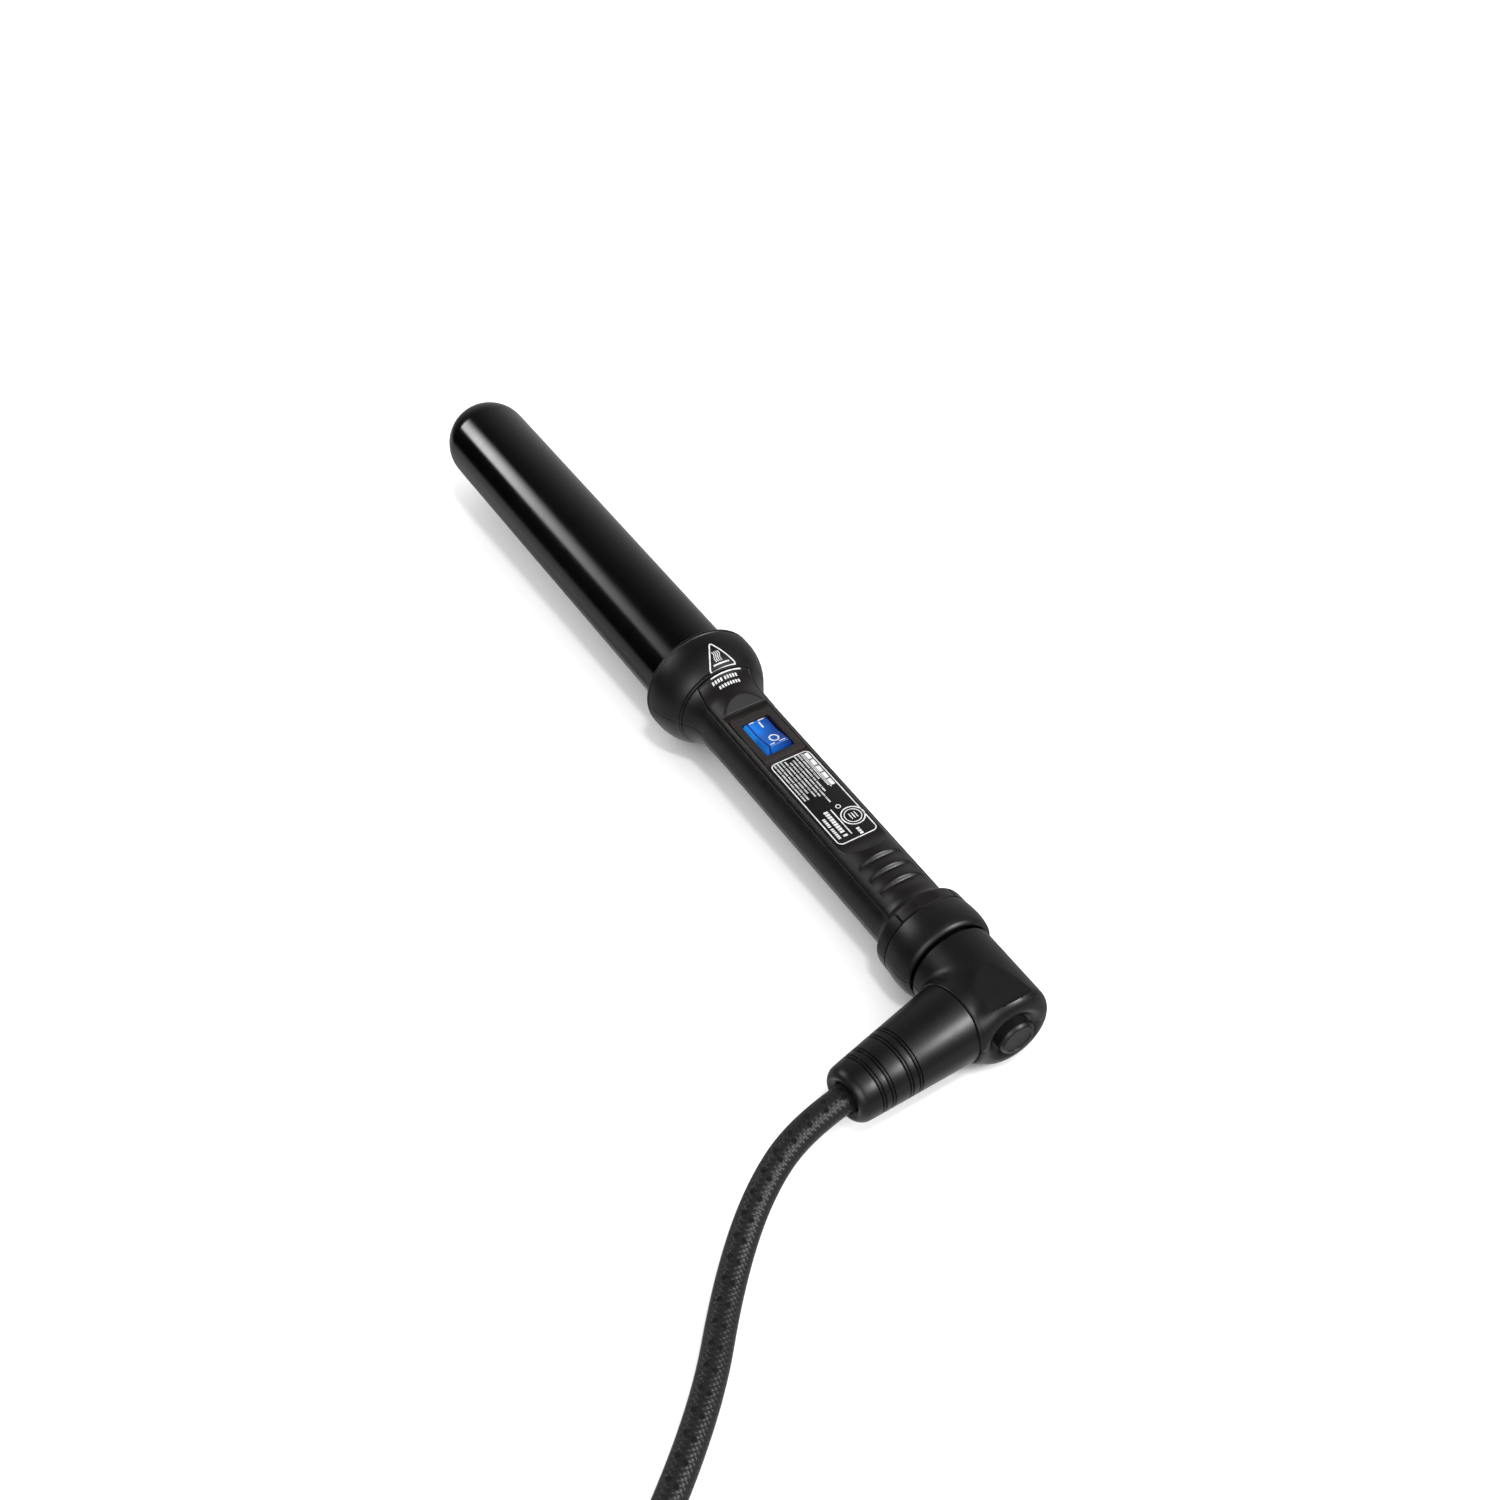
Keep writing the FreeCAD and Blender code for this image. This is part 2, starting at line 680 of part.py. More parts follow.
def make_elbow_shells():
    """The tail elbow in two halves: a hub, and a short stub on the near side that holds the strain relief."""
    for label, below in (("elbow_upper", False), ("elbow_lower", True)):
        hub = turned(label + "_turned", HUB_OUTSIDE + HUB_INSIDE, 180, below)
        stub = along_boot(turned(label + "_stub_turned", [
            ("3", "0"),
            ("stub_end", "0"),
            ("stub_end", "stub_radius"),
            ("3", "stub_radius"),
        ], 180, below))
        inside = cylinder(label + "_inside", "hub_radius - hub_wall", "tail_end - hub_start - 8.9",
                          ("hub_start + 0.9", 0, 0))
        end_wall = cylinder(label + "_end_wall", 8.7, 10, ("tail_end - 8", 0, 0))
        stub = cut(label + "_stub", stub, inside, end_wall)
        throat = along_boot(turned(label + "_throat", [
            ("0", "0"),
            ("30", "0"),
            ("30", "boot_root_radius + 0.05"),
            ("stub_end", "boot_root_radius + 0.05"),
            ("stub_end", "boot_neck_radius + 0.05"),
            ("0", "boot_neck_radius + 0.05"),
        ]))
        pocket = cylinder(label + "_cap_pocket", 5.1, 2.6, ("tail_end - 5.9", 0, 0))
        tools = [throat, pocket]
        posts = []
        for i, (x, y) in enumerate(ELBOW_SCREWS):
            name = "%s_%d" % (label, i)
            low, high = (-11.2, 0) if below else (0, 11.2)
            post = cylinder(name + "_post", 2.3, high - low, (x, y, low), Z)
            posts.append(common(name + "_trimmed", post, cylinder(name + "_limit", 13, 40, (140, 0, 0))))
            tools.append(cylinder(name + "_drill", 1.15, 17, (x, y, -13), Z))
            if below:
                tools.append(cylinder(name + "_well", 2.0, 6, (x, y, -15.1), Z))
        tools.append(cylinder(label + "_cap_seat", "cap_radius + 0.05", 4, ("tail_end - 3.5", 0, 0)))
        if not below:
            tools.append(padded(label + "_facet", [
                (160, "hub_radius + 0.05"),
                (174.4, "hub_radius - 1.8"),
                (174.4, "hub_radius + 2"),
                (160, "hub_radius + 2"),
            ], 30, "XZ_Plane", both_ways=True))
        shell = joined(label + "_posted", hub, stub, *posts)
        keep(cut(label + "_shell", shell, *tools), label + "_shell")


def make_elbow_screws():
    screws = []
    for i, (x, y) in enumerate(ELBOW_SCREWS):
        head = cylinder("elbow_screw_head_%d" % i, 1.9, 1.2, (x, y, -10.3), Z)
        shank = cylinder("elbow_screw_shank_%d" % i, 1.1, 11, (x, y, -9.1), Z)
        screws.append(joined("elbow_screw_%d" % i, head, shank))
    keep(grouped("elbow_screws", screws), "elbow_screws")


def make_elbow_cap():
    """The round plug that covers the axle's head."""
    keep(turned("elbow_cap", [
        ("tail_end - 3.3", "0"),
        ("tail_end - 3.3", "cap_radius"),
        ("cap_end - 0.9", "cap_radius"),
        ("cap_end", "cap_radius - 0.8"),
        ("cap_end", "cap_radius - 2.0"),
        ("cap_end - 0.3", "cap_radius - 2.1"),
        ("cap_end - 0.3", "0"),
    ]), "elbow_cap")


def groove(at):
    """Corners of one ring groove in the strain relief, along its tapering side."""
    slope = "boot_root_radius - (boot_root_radius - boot_tip_radius) * (%s - stub_end) / (boot_end - 3 - stub_end)"
    return [
        (str(at - 0.45), slope % str(at - 0.45)),
        (str(at - 0.35), slope % at + " - 0.55"),
        (str(at + 0.35), slope % at + " - 0.55"),
        (str(at + 0.45), slope % str(at + 0.45)),
    ]


BOOT_GROOVES = (34.2, 37.4, 43.6, 46.8)


def make_strain_relief():
    """The tapering rubber sleeve round the cord, its neck held in the elbow's stub."""
    outline = [
        ("8.6", "cord_radius + 0.05"),
        ("8.6", "boot_neck_radius"),
        ("stub_end + 0.05", "boot_neck_radius"),
        ("stub_end + 0.05", "boot_root_radius"),
    ]
    for at in BOOT_GROOVES:
        outline += groove(at)
    outline += [
        ("boot_end - 3", "boot_tip_radius"),
        ("boot_end", "boot_tip_radius - 3", "-3"),
        ("boot_end", "cord_radius + 0.05"),
    ]
    keep(along_boot(turned("boot_turned", outline)), "strain_relief_boot")


def make_cord_anchor():
    """The cord's end inside the strain relief and the clamp that grips it."""
    core = along_boot(turned("cord_end_turned", [
        ("4.4", "0"),
        ("boot_end", "0"),
        ("boot_end", "cord_radius"),
        ("4.4", "cord_radius"),
    ]))
    keep(core, "cord_inner_end")
    clamp = turned("cord_clamp", [
        ("4.6", "cord_radius + 0.05"),
        ("8.4", "cord_radius + 0.05"),
        ("8.4", "7.6"),
        ("4.6", "7.6"),
    ])
    keep(along_boot(clamp), "cord_clamp")


# ---------------------------------------------------------------- cord, coil, tie and plug

exit_point = WAND_POSE.multVec(vector("boot_x", 0, 0) + outlet * value("boot_end"))
exit_direction = tipped.multVec(outlet)


def swept_tube(label, route, pose=LEVEL):
    """A round tube along straight runs joined by tangent arcs, with its size checked."""
    radius = value("cord_radius")
    edges = []
    start = route[0]
    bends = []
    for before, corner, after in zip(route, route[1:], route[2:]):
        back = before - corner
        ahead = after - corner
        half_turn = (math.pi - back.getAngle(ahead)) / 2.0
        setback = 0.45 * min(back.Length, ahead.Length)
        bend = setback / math.tan(half_turn)
        bends.append(bend)
        enter = corner + back.normalize() * setback
        leave = corner + ahead.normalize() * setback
        inward = (back + ahead).normalize()
        middle = corner + inward * (bend / math.cos(half_turn) - bend)
        edges.append(Part.LineSegment(start, enter).toShape())
        edges.append(Part.Arc(enter, middle, leave).toShape())
        start = leave
    edges.append(Part.LineSegment(start, route[-1]).toShape())
    path = Part.Wire(edges)
    section = Part.Wire([Part.Circle(route[0], route[1] - route[0], radius).toShape()])
    tube = path.makePipeShell([section], True, False)
    expected = math.pi * radius ** 2 * path.Length
    print("%s: length %.1f, bend radii %s, volume %.4f of section x length" % (
        label, path.Length, ["%.1f" % b for b in bends], tube.Volume / expected))
    feature = doc.addObject("Part::Feature", label)
    feature.Shape = tube
    keep(feature, label, pose)
    return path.Length


FLOOR_CORD = value("cord_radius")
CORD_ROUTE = [
    exit_point,
    exit_point + exit_direction * 16.0,
    FreeCAD.Vector(181.4, -88.0, 9.6),
    FreeCAD.Vector(197.8, -107.2, FLOOR_CORD),
    FreeCAD.Vector(226.0, -130.5, FLOOR_CORD),
    FreeCAD.Vector(256.5, -169.0, FLOOR_CORD),
    FreeCAD.Vector(278.5, -207.0, FLOOR_CORD),
]


COIL_HEIGHT = 2 * TURN_PITCH      # two layers of turns
TIE_WIDTH = 14.0
TIE_THICKNESS = 1.3


def coil_ring(centre, inset):
    """The coil's outer shape, a flat ring with rounded rims, or the same ring smaller by an inset."""
    spare = value("cord_radius") - inset
    outside = Part.makeCylinder(OUTER_TURN + spare, COIL_HEIGHT - 2 * inset, centre + Z * inset)
    inside = Part.makeCylinder(INNER_TURN - spare, COIL_HEIGHT, centre)
    ring = outside.cut(inside)
    rims = [edge for edge in ring.Edges if isinstance(edge.Curve, Part.Circle)]
    return ring.makeFillet(spare, rims)


def make_coil(centre, coiled):
    """The put-away length, a neat round coil, and the strap round it that lies flush in its outer shape."""
    whole = coil_ring(centre, 0.0)
    core = coil_ring(centre, TIE_THICKNESS)
    slab = Part.makeBox(2 * OUTER_TURN, TIE_WIDTH, 2 * COIL_HEIGHT,
                        FreeCAD.Vector(0, -TIE_WIDTH / 2.0, -COIL_HEIGHT / 2.0))
    slab.Placement = FreeCAD.Placement(centre, FreeCAD.Rotation(Z, TIE_ANGLE))
    strap = whole.common(slab).cut(core)
    for label, shape in (("cord_coil", whole.cut(strap)), ("cord_tie", strap)):
        feature = doc.addObject("Part::Feature", label)
        feature.Shape = shape
        keep(feature, label, LEVEL)
    turns = coiled / (math.pi * (INNER_TURN + OUTER_TURN))
    print("coil centre %.1f %.1f, %.1f mm in %.2f turns" % (centre.x, centre.y, coiled, turns))


def make_plug(start, direction):
    """A moulded two-blade plug lying on its flat side, its strain relief towards the cord."""
    frame = FreeCAD.Placement(start, FreeCAD.Rotation(X, direction))
    relief = cone("plug_relief", "cord_radius + 1.3", "cord_radius + 2.6", 30, (0, 0, 0))
    body = padded("plug_block", [
        ("30", "-7"),
        ("34", "-9.5", "5"),
        ("52", "-12"),
        ("59", "-12"),
        ("62", "-9", "3"),
        ("62", "9"),
        ("59", "12", "3"),
        ("52", "12"),
        ("34", "9.5"),
        ("30", "7", "5"),
    ], 15, both_ways=True)
    whole = joined("plug_body", relief, body)
    whole.Placement = frame
    keep(whole, "plug_body", LEVEL)
    blades = [box("blade_%d" % i, (17.5, 1.5, 6.3), (70.8, y, -3.15)) for i, y in enumerate((-6.35, 6.35))]
    pair = grouped("plug_blades", blades)
    pair.Placement = frame
    keep(pair, "plug_blades", LEVEL)


PLUG_HEIGHT = 7.5        # the plug's axis, half its thickness above the surface


def make_cord():
    """The cord from the strain relief to the coil, the coil, and the plug's end that leaves the coil's top."""
    used = swept_tube("mains_cord", CORD_ROUTE)
    last_run = (CORD_ROUTE[-1] - CORD_ROUTE[-2]).normalize()
    centre = CORD_ROUTE[-1] + FreeCAD.Vector(-last_run.y, last_run.x, 0) * OUTER_TURN
    centre.z = 0
    around = math.radians(LEAVE_ANGLE)
    outward = FreeCAD.Vector(math.cos(around), math.sin(around), 0)
    heading = FreeCAD.Vector(-math.sin(around), math.cos(around), 0)
    leave = centre + outward * OUTER_TURN + Z * (COIL_HEIGHT - TURN_PITCH / 2.0)
    drop = leave.z - PLUG_HEIGHT
    slope = math.asin(drop / 40.0)
    first = leave + heading * 20.0
    second = first + heading * (40.0 * math.cos(slope)) - Z * drop
    end = second + heading * 20.0
    used += swept_tube("mains_cord_end", [leave, first, second, end])
    make_coil(centre, CORD_LENGTH - used)
    make_plug(end, heading)


# ---------------------------------------------------------------- the whole wand

make_barrel()
make_heat_spreaders()
make_heater()
make_thermal_fuse()
make_barrel_holder()
make_barrel_screws()
make_guard()
make_handle_shells()
make_handle_screws()
make_top_cover()
make_collar()
make_switch_housing()
make_rocker()
make_switch_insides()
make_label()
make_control_board()
make_leads()
make_swivel_socket()
make_swivel_axle()
make_brush_carrier()
make_elbow_shells()
make_elbow_screws()
make_elbow_cap()
make_strain_relief()
make_cord_anchor()
make_cord()

doc.recompute()
for item in doc.Objects:
    if "Invalid" in item.State or "Error" in item.State:
        raise RuntimeError("%s failed: %s" % (item.Name, item.State))
os.makedirs("parts", exist_ok=True)
for item in nodes:
    shape = item.Shape
    if shape.isNull() or not shape.isValid() or shape.Volume <= 0:
        raise RuntimeError("%s has no valid shape" % item.Label)
    shape.exportStep("parts/%s.step" % item.Label)
print("%d nodes" % len(nodes))
print("tip %.3f degrees, lift %.3f" % (TIP, -lowest))
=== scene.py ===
"""Looks of the curling wand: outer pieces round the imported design, cord, prints, materials and light."""
import json
import math

import bmesh
import bpy
import numpy as np
from mathutils import Matrix, Vector
from mathutils.geometry import tessellate_polygon


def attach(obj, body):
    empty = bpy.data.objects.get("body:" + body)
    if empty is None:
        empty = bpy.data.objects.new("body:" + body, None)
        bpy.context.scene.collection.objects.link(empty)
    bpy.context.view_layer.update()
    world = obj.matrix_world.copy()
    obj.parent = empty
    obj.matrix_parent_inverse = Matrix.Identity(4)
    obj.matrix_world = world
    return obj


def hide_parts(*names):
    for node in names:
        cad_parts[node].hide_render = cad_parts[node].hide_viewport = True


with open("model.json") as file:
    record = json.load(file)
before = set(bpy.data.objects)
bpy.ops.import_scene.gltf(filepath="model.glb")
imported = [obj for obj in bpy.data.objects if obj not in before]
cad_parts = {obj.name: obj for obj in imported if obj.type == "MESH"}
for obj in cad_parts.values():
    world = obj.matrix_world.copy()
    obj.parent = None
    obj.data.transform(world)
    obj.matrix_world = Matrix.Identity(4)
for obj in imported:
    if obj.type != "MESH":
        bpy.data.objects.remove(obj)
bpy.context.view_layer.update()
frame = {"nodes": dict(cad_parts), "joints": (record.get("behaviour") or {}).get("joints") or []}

# The wand's own frame: millimetres, X along the barrel's axis from the guard's front to the tail, Z up through
# the rocker. The wand lies tipped on the surface, as the swivel's axis says.
MM = 0.001
swivel = next(joint for joint in frame["joints"] if joint["name"] == "cord_swivel")
TIP = math.atan2(-swivel["axis"][2], swivel["axis"][0])
LIFT = swivel["pos_m"][2] + swivel["pos_m"][0] * math.tan(TIP)
WAND = Matrix.Translation((0, 0, LIFT)) @ Matrix.Rotation(TIP, 4, "Y")
LEVEL = Matrix.Identity(4)
CORD_RADIUS = 4.25


def placed(name, data):
    """A new object in the scene."""
    made = bpy.data.objects.new(name, data)
    bpy.context.scene.collection.objects.link(made)
    return made


# ---- camera

def make_camera():
    """A camera that looks down on the wand from beyond its tail, on the side that the cord leaves."""
    azimuth = math.radians(60.13)
    elevation = math.radians(42.66)
    roll = math.radians(2.18)
    distance = 0.6446
    target = Vector((0.03898, -0.00335, 0.01934))
    back = Vector((math.sin(azimuth) * math.cos(elevation),
                   -math.cos(azimuth) * math.cos(elevation),
                   math.sin(elevation)))
    data = bpy.data.cameras.new("camera")
    data.sensor_width = 36.0
    data.lens = 47.23
    camera = placed("camera", data)
    camera.rotation_mode = "QUATERNION"
    rolled = Matrix.Rotation(-roll, 3, "Z").to_quaternion()
    camera.rotation_quaternion = (-back).to_track_quat("-Z", "Y") @ rolled
    camera.location = target + back * distance
    bpy.context.scene.camera = camera


make_camera()


# ---- meshes

def add_piece(name, shape, slot, body, replaced=(), pose=WAND, sharp=35, normals=None, uv=None, finish=None):
    """A piece from a shape in millimetres, shaded smooth between its sharp edges, that rides on a body."""
    vertices, faces = shape
    mesh = bpy.data.meshes.new(name)
    mesh.from_pydata((np.asarray(vertices, float) * MM).tolist(), [], faces)
    if normals is None and uv is None:
        closed_up(mesh)
    mesh.transform(pose)
    mesh.update()
    mesh.shade_smooth()
    if uv is not None:
        layer = mesh.uv_layers.new(name="UVMap")
        corners = np.empty(len(mesh.loops), dtype=np.int32)
        mesh.loops.foreach_get("vertex_index", corners)
        layer.data.foreach_set("uv", np.asarray(uv, np.float32)[corners].ravel())
    if normals is not None:
        turn = np.array(pose.to_3x3())
        mesh.normals_split_custom_set_from_vertices((np.asarray(normals) @ turn.T).tolist())
    else:
        mesh.set_sharp_from_angle(angle=math.radians(sharp))
    mesh.materials.append(finish or LOOKS[slot])
    piece = placed(name, mesh)
    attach(piece, body)
    if replaced:
        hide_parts(*replaced)
    return piece


def closed_up(mesh):
    """Merge points that coincide, as on a turned piece's axis, and turn every face outwards."""
    work = bmesh.new()
    work.from_mesh(mesh)
    bmesh.ops.remove_doubles(work, verts=work.verts, dist=1e-7)
    bmesh.ops.dissolve_degenerate(work, edges=work.edges, dist=1e-8)
    bmesh.ops.recalc_face_normals(work, faces=work.faces)
    work.to_mesh(mesh)
    work.free()


def skinned(sections, closed_rows=True, closed_ends=False, cap=None):
    """Vertices and faces of a skin over equal sections, its ends capped unless the sections run in a ring.

    cap: the triangles that fill an end, where its outline isn't convex.
    """
    sections = np.asarray(sections, float)
    rows, columns = sections.shape[:2]
    index = np.arange(rows * columns).reshape(rows, columns)
    below = index if closed_ends else index[:-1]
    above = np.roll(index, -1, axis=0) if closed_ends else index[1:]
    if closed_rows:
        corners = (below, np.roll(below, -1, axis=1), np.roll(above, -1, axis=1), above)
    else:
        corners = (below[:, :-1], below[:, 1:], above[:, 1:], above[:, :-1])
    faces = np.stack([c.ravel() for c in corners], axis=1).tolist()
    if closed_rows and not closed_ends:
        for end in (index[0], index[-1]):
            faces += [end.tolist()] if cap is None else end[np.array(cap)].tolist()
    return sections.reshape(-1, 3), faces


def joined(shapes):
    """The vertices and faces of several shapes as one."""
    faces, start = [], 0
    for vertices, some in shapes:
        faces += [[i + start for i in face] for face in some]
        start += len(vertices)
    return np.concatenate([vertices for vertices, _ in shapes]), faces


def filled(points):
    """The triangles that fill a flat outline."""
    return tessellate_polygon([[Vector((*point, 0)) for point in points]])


def arc_points(start, end, radius):
    """Points from start to end along a short arc; a positive radius turns left, a negative one right."""
    chord = end - start
    length = np.hypot(*chord)
    middle = (start + end) / 2
    side = np.array([-chord[1], chord[0]]) / length
    away = math.sqrt(max(radius * radius - length * length / 4, 0.0))
    centre = middle + side * math.copysign(away, radius)
    first = math.atan2(*(start - centre)[::-1])
    turn = 2 * math.asin(min(length / 2 / abs(radius), 1.0))
    steps = max(int(math.degrees(turn) / 4), 4)
    angles = first + math.copysign(1.0, radius) * np.linspace(0, turn, steps + 1)
    return centre + abs(radius) * np.stack([np.cos(angles), np.sin(angles)], axis=1)


def trimmed(points, length):
    """A polyline without its last stretch of that length."""
    points = points.copy()
    while len(points) > 2 and np.hypot(*(points[-1] - points[-2])) <= length:
        length -= np.hypot(*(points[-1] - points[-2]))
        points = points[:-1]
    last = points[-1] - points[-2]
    points[-1] -= last * min(length / np.hypot(*last), 0.95)
    return points


def outline(corners):
    """The closed outline through some corners, with its arcs and its rounded corners sampled.

    A corner is x and r, then arc, the radius of the line that arrives there, and soft, how far before the
    corner its rounding starts. The last two are 0 where they are left out.
    """
    corners = [(*c, 0, 0)[:4] for c in corners]
    places = [np.array(c[:2], float) for c in corners]
    lines = []
    for i, (_, _, arc, _) in enumerate(corners):
        ends = (places[i - 1], places[i])
        lines.append(arc_points(*ends, arc) if arc else np.array(ends))
    for i, (_, _, _, soft) in enumerate(corners):
        if not soft:
            continue
        following = (i + 1) % len(corners)
        arriving = trimmed(lines[i], soft)
        leaving = trimmed(lines[following][::-1], soft)[::-1]
        t = np.linspace(0, 1, 6)[1:-1, None]
        bend = (1 - t) ** 2 * arriving[-1] + 2 * t * (1 - t) * places[i] + t ** 2 * leaving[0]
        lines[i] = np.concatenate([arriving, bend, leaving[:1]])
        lines[following] = leaving
    return np.concatenate([line[1:] for line in lines])


def inset(points, distance):
    """A closed outline moved inwards a little."""
    ahead = np.roll(points, -1, axis=0) - points
    ahead /= np.maximum(np.hypot(*ahead.T), 1e-9)[:, None]
    along = ahead + np.roll(ahead, 1, axis=0)
    along /= np.maximum(np.hypot(*along.T), 1e-9)[:, None]
    area = 0.5 * np.sum(points[:, 0] * np.roll(points[:, 1], -1) - np.roll(points[:, 0], -1) * points[:, 1])
    inward = np.stack([-along[:, 1], along[:, 0]], axis=1) * math.copysign(1.0, area)
    return points + inward * distance


def part_turn(points, start, end, count, lip=0.25):
    """The angles of a part turn's sections, each with how far it is drawn in to soften the ends' edges."""
    radii = np.maximum(points[:, 1], 1.0)
    rim = [(lip * (1 - math.cos(p)) / radii, lip * (1 - math.sin(p))) for p in np.radians([0, 30, 60, 90])]
    inner = lip / radii
    return ([(start + along, depth) for along, depth in rim]
            + [(start + inner + (end - start - 2 * inner) * i / count, 0.0) for i in range(1, count)]
            + [(end - along, depth) for along, depth in rim[::-1]])


def swept(points, stations, mirror=1):
    """Sections of an outline of (x, r) about X, at some angles."""
    sections = []
    for angle, depth in stations:
        x, r = (inset(points, depth) if depth else points).T
        sections.append(np.stack([x, mirror * r * np.cos(angle), r * np.sin(angle)], axis=1))
    return sections


def lathe(name, corners, slot, body, replaced, half=None, pose=WAND, step=2.0):
    """A piece turned about the X axis of its pose; half is the angle where a half turn starts."""
    points = outline(corners)
    if half is None:
        stations = [(math.radians(a), 0.0) for a in np.arange(0, 360, step)]
    else:
        stations = part_turn(points, math.radians(half), math.radians(half + 180), int(180 / step))
    shape = skinned(swept(points, stations), closed_ends=half is None, cap=filled(points))
    return add_piece(name, shape, slot, body, replaced, pose)


# ---- solids from distance fields

def soft_max(a, b, k):
    """The larger of two fields, rounded over a width k: where two solids overlap."""
    h = np.clip(0.5 - 0.5 * (b - a) / k, 0, 1)
    return b + (a - b) * h + k * h * (1 - h)


def soft_min(a, b, k):
    """The smaller of two fields, filleted over a width k: two solids joined."""
    return -soft_max(-a, -b, k)


def sculpted(field, low, high, step):
    """Vertices, faces and normals of the surface where a distance field is zero, by surface nets."""
    axes = [np.arange(a - 2 * step, b + 3 * step, step) for a, b in zip(low, high)]
    grid = np.meshgrid(*axes, indexing="ij")
    values = field(*grid)
    shape = tuple(n - 1 for n in values.shape)
    total = np.zeros(shape + (3,))
    count = np.zeros(shape)
    crossings = []
    for axis in range(3):
        start = tuple(slice(0, -1) if i == axis else slice(None) for i in range(3))
        end = tuple(slice(1, None) if i == axis else slice(None) for i in range(3))
        a, b = values[start], values[end]
        crossed = (a < 0) != (b < 0)
        share = np.where(crossed, a / np.where(crossed, a - b, 1.0), 0.0)
        place = np.stack([g[start] for g in grid], axis=-1)
        place[..., axis] += share * step
        place *= crossed[..., None]
        crossings.append((crossed, a < 0))
        others = [i for i in range(3) if i != axis]
        for shift in ((0, 0), (0, 1), (1, 0), (1, 1)):
            part = [slice(None)] * 3
            for other, s in zip(others, shift):
                part[other] = slice(s, values.shape[other] - 1 + s)
            total += place[tuple(part)]
            count += crossed[tuple(part)]
    used = count > 0
    number = np.full(shape, -1)
    number[used] = np.arange(used.sum())
    points = total[used] / count[used][:, None]
    faces = []
    for axis, (crossed, starts_inside) in enumerate(crossings):
        first, second = [i for i in range(3) if i != axis]
        where = np.argwhere(crossed)
        for other in (first, second):
            where = where[(where[:, other] > 0) & (where[:, other] < shape[other])]
        inside = starts_inside[tuple(where.T)]
        corners = []
        for a, b in ((1, 1), (0, 1), (0, 0), (1, 0)):
            cell = where.copy()
            cell[:, first] -= a
            cell[:, second] -= b
            corners.append(number[tuple(cell.T)])
        quads = np.stack(corners, axis=1)
        flip = inside if axis == 1 else ~inside
        quads[flip] = quads[flip][:, ::-1]
        faces.append(quads)
    for _ in range(4):
        distance, slope = graded(field, points)
        points -= slope * np.clip(distance, -step, step)[:, None]
    _, slope = graded(field, points)
    return points, np.concatenate(faces).tolist(), slope


def graded(field, points):
    """A field's distance and unit slope at some points."""
    small = 0.02
    steps = [field(*(points + shift).T) - field(*(points - shift).T) for shift in small * np.eye(3)]
    slope = np.stack(steps, axis=1) / (2 * small)
    size = np.maximum(np.linalg.norm(slope, axis=1), 1e-6)
    return field(*points.T) / size, slope / size[:, None]


# ---- materials

def srgb(red, green, blue):
    """A colour in linear light from its display values, 0 to 255."""
    shares = (red / 255, green / 255, blue / 255)
    return (*(c / 12.92 if c < 0.0404 else ((c + 0.055) / 1.055) ** 2.4 for c in shares), 1.0)


class Tree:
    """A node tree, with short calls for the nodes that this script uses."""

    def __init__(self, tree):
        self.tree = tree

    def feed(self, socket, given):
        if isinstance(given, bpy.types.NodeSocket):
            self.tree.links.new(given, socket)
        else:
            socket.default_value = given

    def node(self, kind, inputs=None, **settings):
        made = self.tree.nodes.new(kind)
        for name, setting in settings.items():
            setattr(made, name, setting)
        for name, given in (inputs or {}).items():
            self.feed(made.inputs[name], given)
        return made

    def math(self, operation, *given):
        return self.node("ShaderNodeMath", dict(enumerate(given)), operation=operation).outputs[0]

    def times(self, product, *others):
        for other in others:
            product = self.math("MULTIPLY", product, other)
        return product

    def plus(self, total, *others):
        for other in others:
            total = self.math("ADD", total, other)
        return total

    def between(self, factor, low, high, start=0.35, end=0.65, **settings):
        """A number that goes from low to high as the factor goes from start to end."""
        inputs = {"Value": factor, "From Min": start, "From Max": end, "To Min": low, "To Max": high}
        return self.node("ShaderNodeMapRange", inputs, **settings).outputs["Result"]


